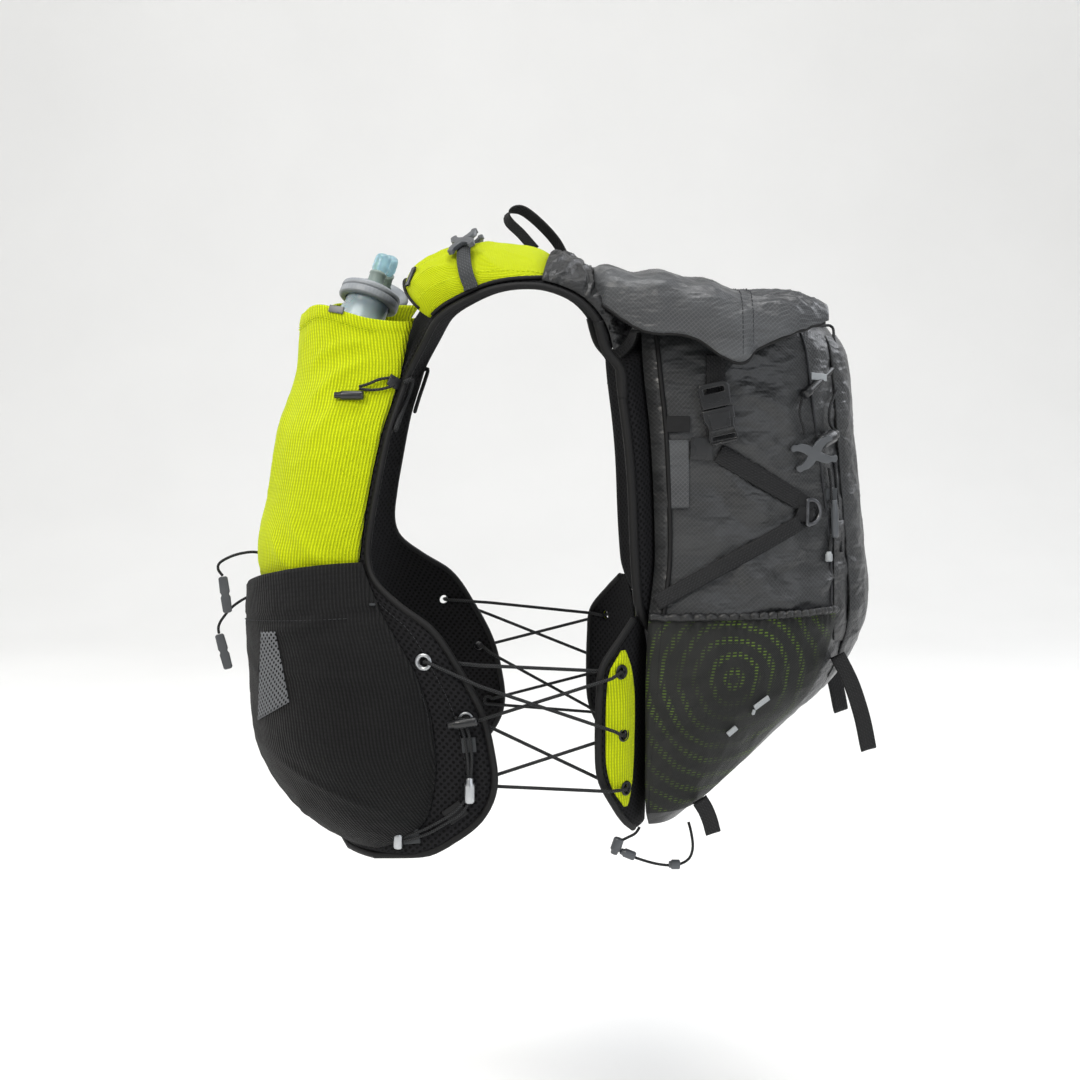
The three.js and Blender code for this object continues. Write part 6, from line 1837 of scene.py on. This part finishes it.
# Soft lights: name, place, size, watts, colour
LIGHTS = (
    ("key_light", (2.0, -1.5, 1.9), 1.2, 58, "#fffaf2"),
    ("fill_light", (2.2, 1.9, 0.7), 2.0, 17, "#f4f8ff"),
    ("top_light", (0.2, 0.1, 2.2), 1.6, 44, "#ffffff"),
    ("rear_light", (-1.2, 2.0, 1.1), 1.4, 24, "#f6f9ff"),
    ("front_light", (-0.9, -2.1, 0.8), 1.6, 16, "#ffffff"),
)


def make_stage(settings):
    sweep = [(5.0, 0.0), (-2.2, 0.0)]
    for turn in steps(16, 0, pi / 2)[1:]:
        sweep.append((-2.2 - 1.4 * sin(turn), 1.4 - 1.4 * cos(turn)))
    sweep.append((-3.6, 5.0))
    spots = [(x, y, z) for x, z in sweep for y in (-7, 7)]
    faces = [(2 * k, 2 * k + 1, 2 * k + 3, 2 * k + 2) for k in range(len(sweep) - 1)]
    data = bpy.data.meshes.new("floor")
    data.from_pydata(spots, [], faces)
    data.polygons.foreach_set("use_smooth", [True] * len(data.polygons))
    floor = placed("floor", data)
    floor.location = (0, 0, -settings.floor_drop)
    data.materials.append(MATERIALS["floor"])
    floor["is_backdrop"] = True
    for name, spot, size, power, colour in LIGHTS:
        light = bpy.data.lights.new(name, "AREA")
        light.shape, light.size, light.color = "DISK", size, srgb(colour)[:3]
        light.energy = power * settings.light_strength
        lamp = placed(name, light)
        lamp.location = spot
        lamp.rotation_euler = (Vector((0, 0, -0.18)) - Vector(spot)).to_track_quat("-Z", "Y").to_euler()
    world = bpy.data.worlds.new("studio")
    bpy.context.scene.world = world
    bpy.context.scene.view_settings.view_transform = "Standard"
    world.use_nodes = True
    background = world.node_tree.nodes["Background"]
    background.inputs["Color"].default_value = srgb("#f4f5f6")
    background.inputs["Strength"].default_value = 0.5


class VestSettings(bpy.types.PropertyGroup):
    rib_pitch: bpy.props.FloatProperty(
        name="Rib pitch", description="Distance between the ribs of the knit pockets",
        default=0.0023, unit="LENGTH")
    mesh_pitch: bpy.props.FloatProperty(
        name="Mesh pitch", description="Distance between the holes of the spacer mesh",
        default=0.0034, unit="LENGTH")
    crumpling: bpy.props.FloatProperty(
        name="Crumpling", description="How strongly the cloth is creased", default=1.0, min=0, max=2,
        subtype="FACTOR")
    lime: bpy.props.FloatVectorProperty(
        name="Lime knit", description="Colour of the bottle pockets", size=4, default=srgb("#c8d600"),
        subtype="COLOR")
    floor_drop: bpy.props.FloatProperty(
        name="Floor", description="How far the floor lies below the shoulders", default=0.62, unit="LENGTH")
    light_strength: bpy.props.FloatProperty(
        name="Light strength", description="Share of the studio lights' full power", default=1.0,
        subtype="FACTOR")


class VEST_OT_camera(bpy.types.Operator):
    """Stands the camera where the vest is seen from its left side"""
    bl_idname = "vest.camera"
    bl_label = "Camera"

    def execute(self, context):
        make_camera()
        return {"FINISHED"}


class VEST_OT_materials(bpy.types.Operator):
    """Makes the cloths, plastics, metals and films"""
    bl_idname = "vest.materials"
    bl_label = "Materials"

    def execute(self, context):
        make_materials(context.scene.vest)
        return {"FINISHED"}


class VEST_OT_cords(bpy.types.Operator):
    """Hangs the free cords with their pull tabs and locks"""
    bl_idname = "vest.cords"
    bl_label = "Free cords"

    def execute(self, context):
        make_cords()
        return {"FINISHED"}


class VEST_OT_body(bpy.types.Operator):
    """Makes the front panels, the back panel and the wings with their lens panels"""
    bl_idname = "vest.body"
    bl_label = "Body panels"

    def execute(self, context):
        CARRIERS["front"] = make_harness()
        make_back()
        make_wings()
        return {"FINISHED"}


class VEST_OT_pockets(bpy.types.Operator):
    """Makes the bottle pockets and the ribbed pockets"""
    bl_idname = "vest.pockets"
    bl_label = "Chest pockets"

    def execute(self, context):
        CARRIERS["flask"], CARRIERS["chest"] = make_pockets()
        return {"FINISHED"}


class VEST_OT_bottles(bpy.types.Operator):
    """Makes the soft bottles with their caps and drinking valves"""
    bl_idname = "vest.bottles"
    bl_label = "Bottles"

    def execute(self, context):
        make_bottles()
        make_caps()
        make_valves()
        return {"FINISHED"}


class VEST_OT_pouches(bpy.types.Operator):
    """Makes the pouches on the shoulder straps"""
    bl_idname = "vest.pouches"
    bl_label = "Shoulder pouches"

    def execute(self, context):
        CARRIERS["pouch"] = make_pouches()
        return {"FINISHED"}


class VEST_OT_bag(bpy.types.Operator):
    """Makes the bag with its rear pocket and net pockets"""
    bl_idname = "vest.bag"
    bl_label = "Bag"

    def execute(self, context):
        CARRIERS["bag"] = make_bag()
        make_rear_pocket()
        CARRIERS["net"] = make_nets()
        make_bag_seams(CARRIERS["bag"])
        return {"FINISHED"}


class VEST_OT_lid(bpy.types.Operator):
    """Makes the rolled lid and the gathered yoke behind the neck"""
    bl_idname = "vest.lid"
    bl_label = "Lid and yoke"

    def execute(self, context):
        make_lid()
        make_yoke()
        make_strap_covers()
        return {"FINISHED"}


class VEST_OT_webbing(bpy.types.Operator):
    """Makes the straps and loops of webbing"""
    bl_idname = "vest.webbing"
    bl_label = "Webbing"

    def execute(self, context):
        make_webbing()
        return {"FINISHED"}


class VEST_OT_hardware(bpy.types.Operator):
    """Makes the buckles, rings, hooks, cord ends and keepers"""
    bl_idname = "vest.hardware"
    bl_label = "Hardware"

    def execute(self, context):
        make_buckles()
        make_rings_and_hooks()
        make_chest_lock()
        make_small_parts()
        make_laid_cords()
        return {"FINISHED"}


class VEST_OT_lacing(bpy.types.Operator):
    """Threads the side lacing through its eyelets"""
    bl_idname = "vest.lacing"
    bl_label = "Side lacing"

    def execute(self, context):
        make_lacing()
        return {"FINISHED"}


class VEST_OT_stage(bpy.types.Operator):
    """Lays the floor and hangs the studio lights"""
    bl_idname = "vest.stage"
    bl_label = "Floor and lights"

    def execute(self, context):
        make_stage(context.scene.vest)
        return {"FINISHED"}


OPERATORS = (
    VEST_OT_camera, VEST_OT_materials, VEST_OT_cords, VEST_OT_body, VEST_OT_pockets, VEST_OT_bottles,
    VEST_OT_pouches, VEST_OT_bag, VEST_OT_lid, VEST_OT_webbing, VEST_OT_hardware, VEST_OT_lacing,
    VEST_OT_stage,
)


class VEST_PT_panel(bpy.types.Panel):
    """Lists the vest's settings and the steps that build it"""
    bl_idname = "VEST_PT_panel"
    bl_label = "Hydration vest"
    bl_space_type = "VIEW_3D"
    bl_region_type = "UI"
    bl_category = "Vest"

    def draw(self, context):
        column = self.layout.column()
        for name in VestSettings.__annotations__:
            column.prop(context.scene.vest, name)
        for step in OPERATORS:
            column.operator(step.bl_idname)


CLASSES = (VestSettings, *OPERATORS, VEST_PT_panel)


def register():
    for item in CLASSES:
        bpy.utils.register_class(item)
    bpy.types.Scene.vest = bpy.props.PointerProperty(type=VestSettings)


def unregister():
    del bpy.types.Scene.vest
    for item in reversed(CLASSES):
        bpy.utils.unregister_class(item)


def main():
    register()
    for step in OPERATORS:
        group, name = step.bl_idname.split(".")
        getattr(getattr(bpy.ops, group), name)()
    corners = lambda box: [[float(x) for x in corner] for corner in box]
    {"cad": corners(cad_box), "visual": corners(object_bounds())}


if __name__ == "__main__":
    main()
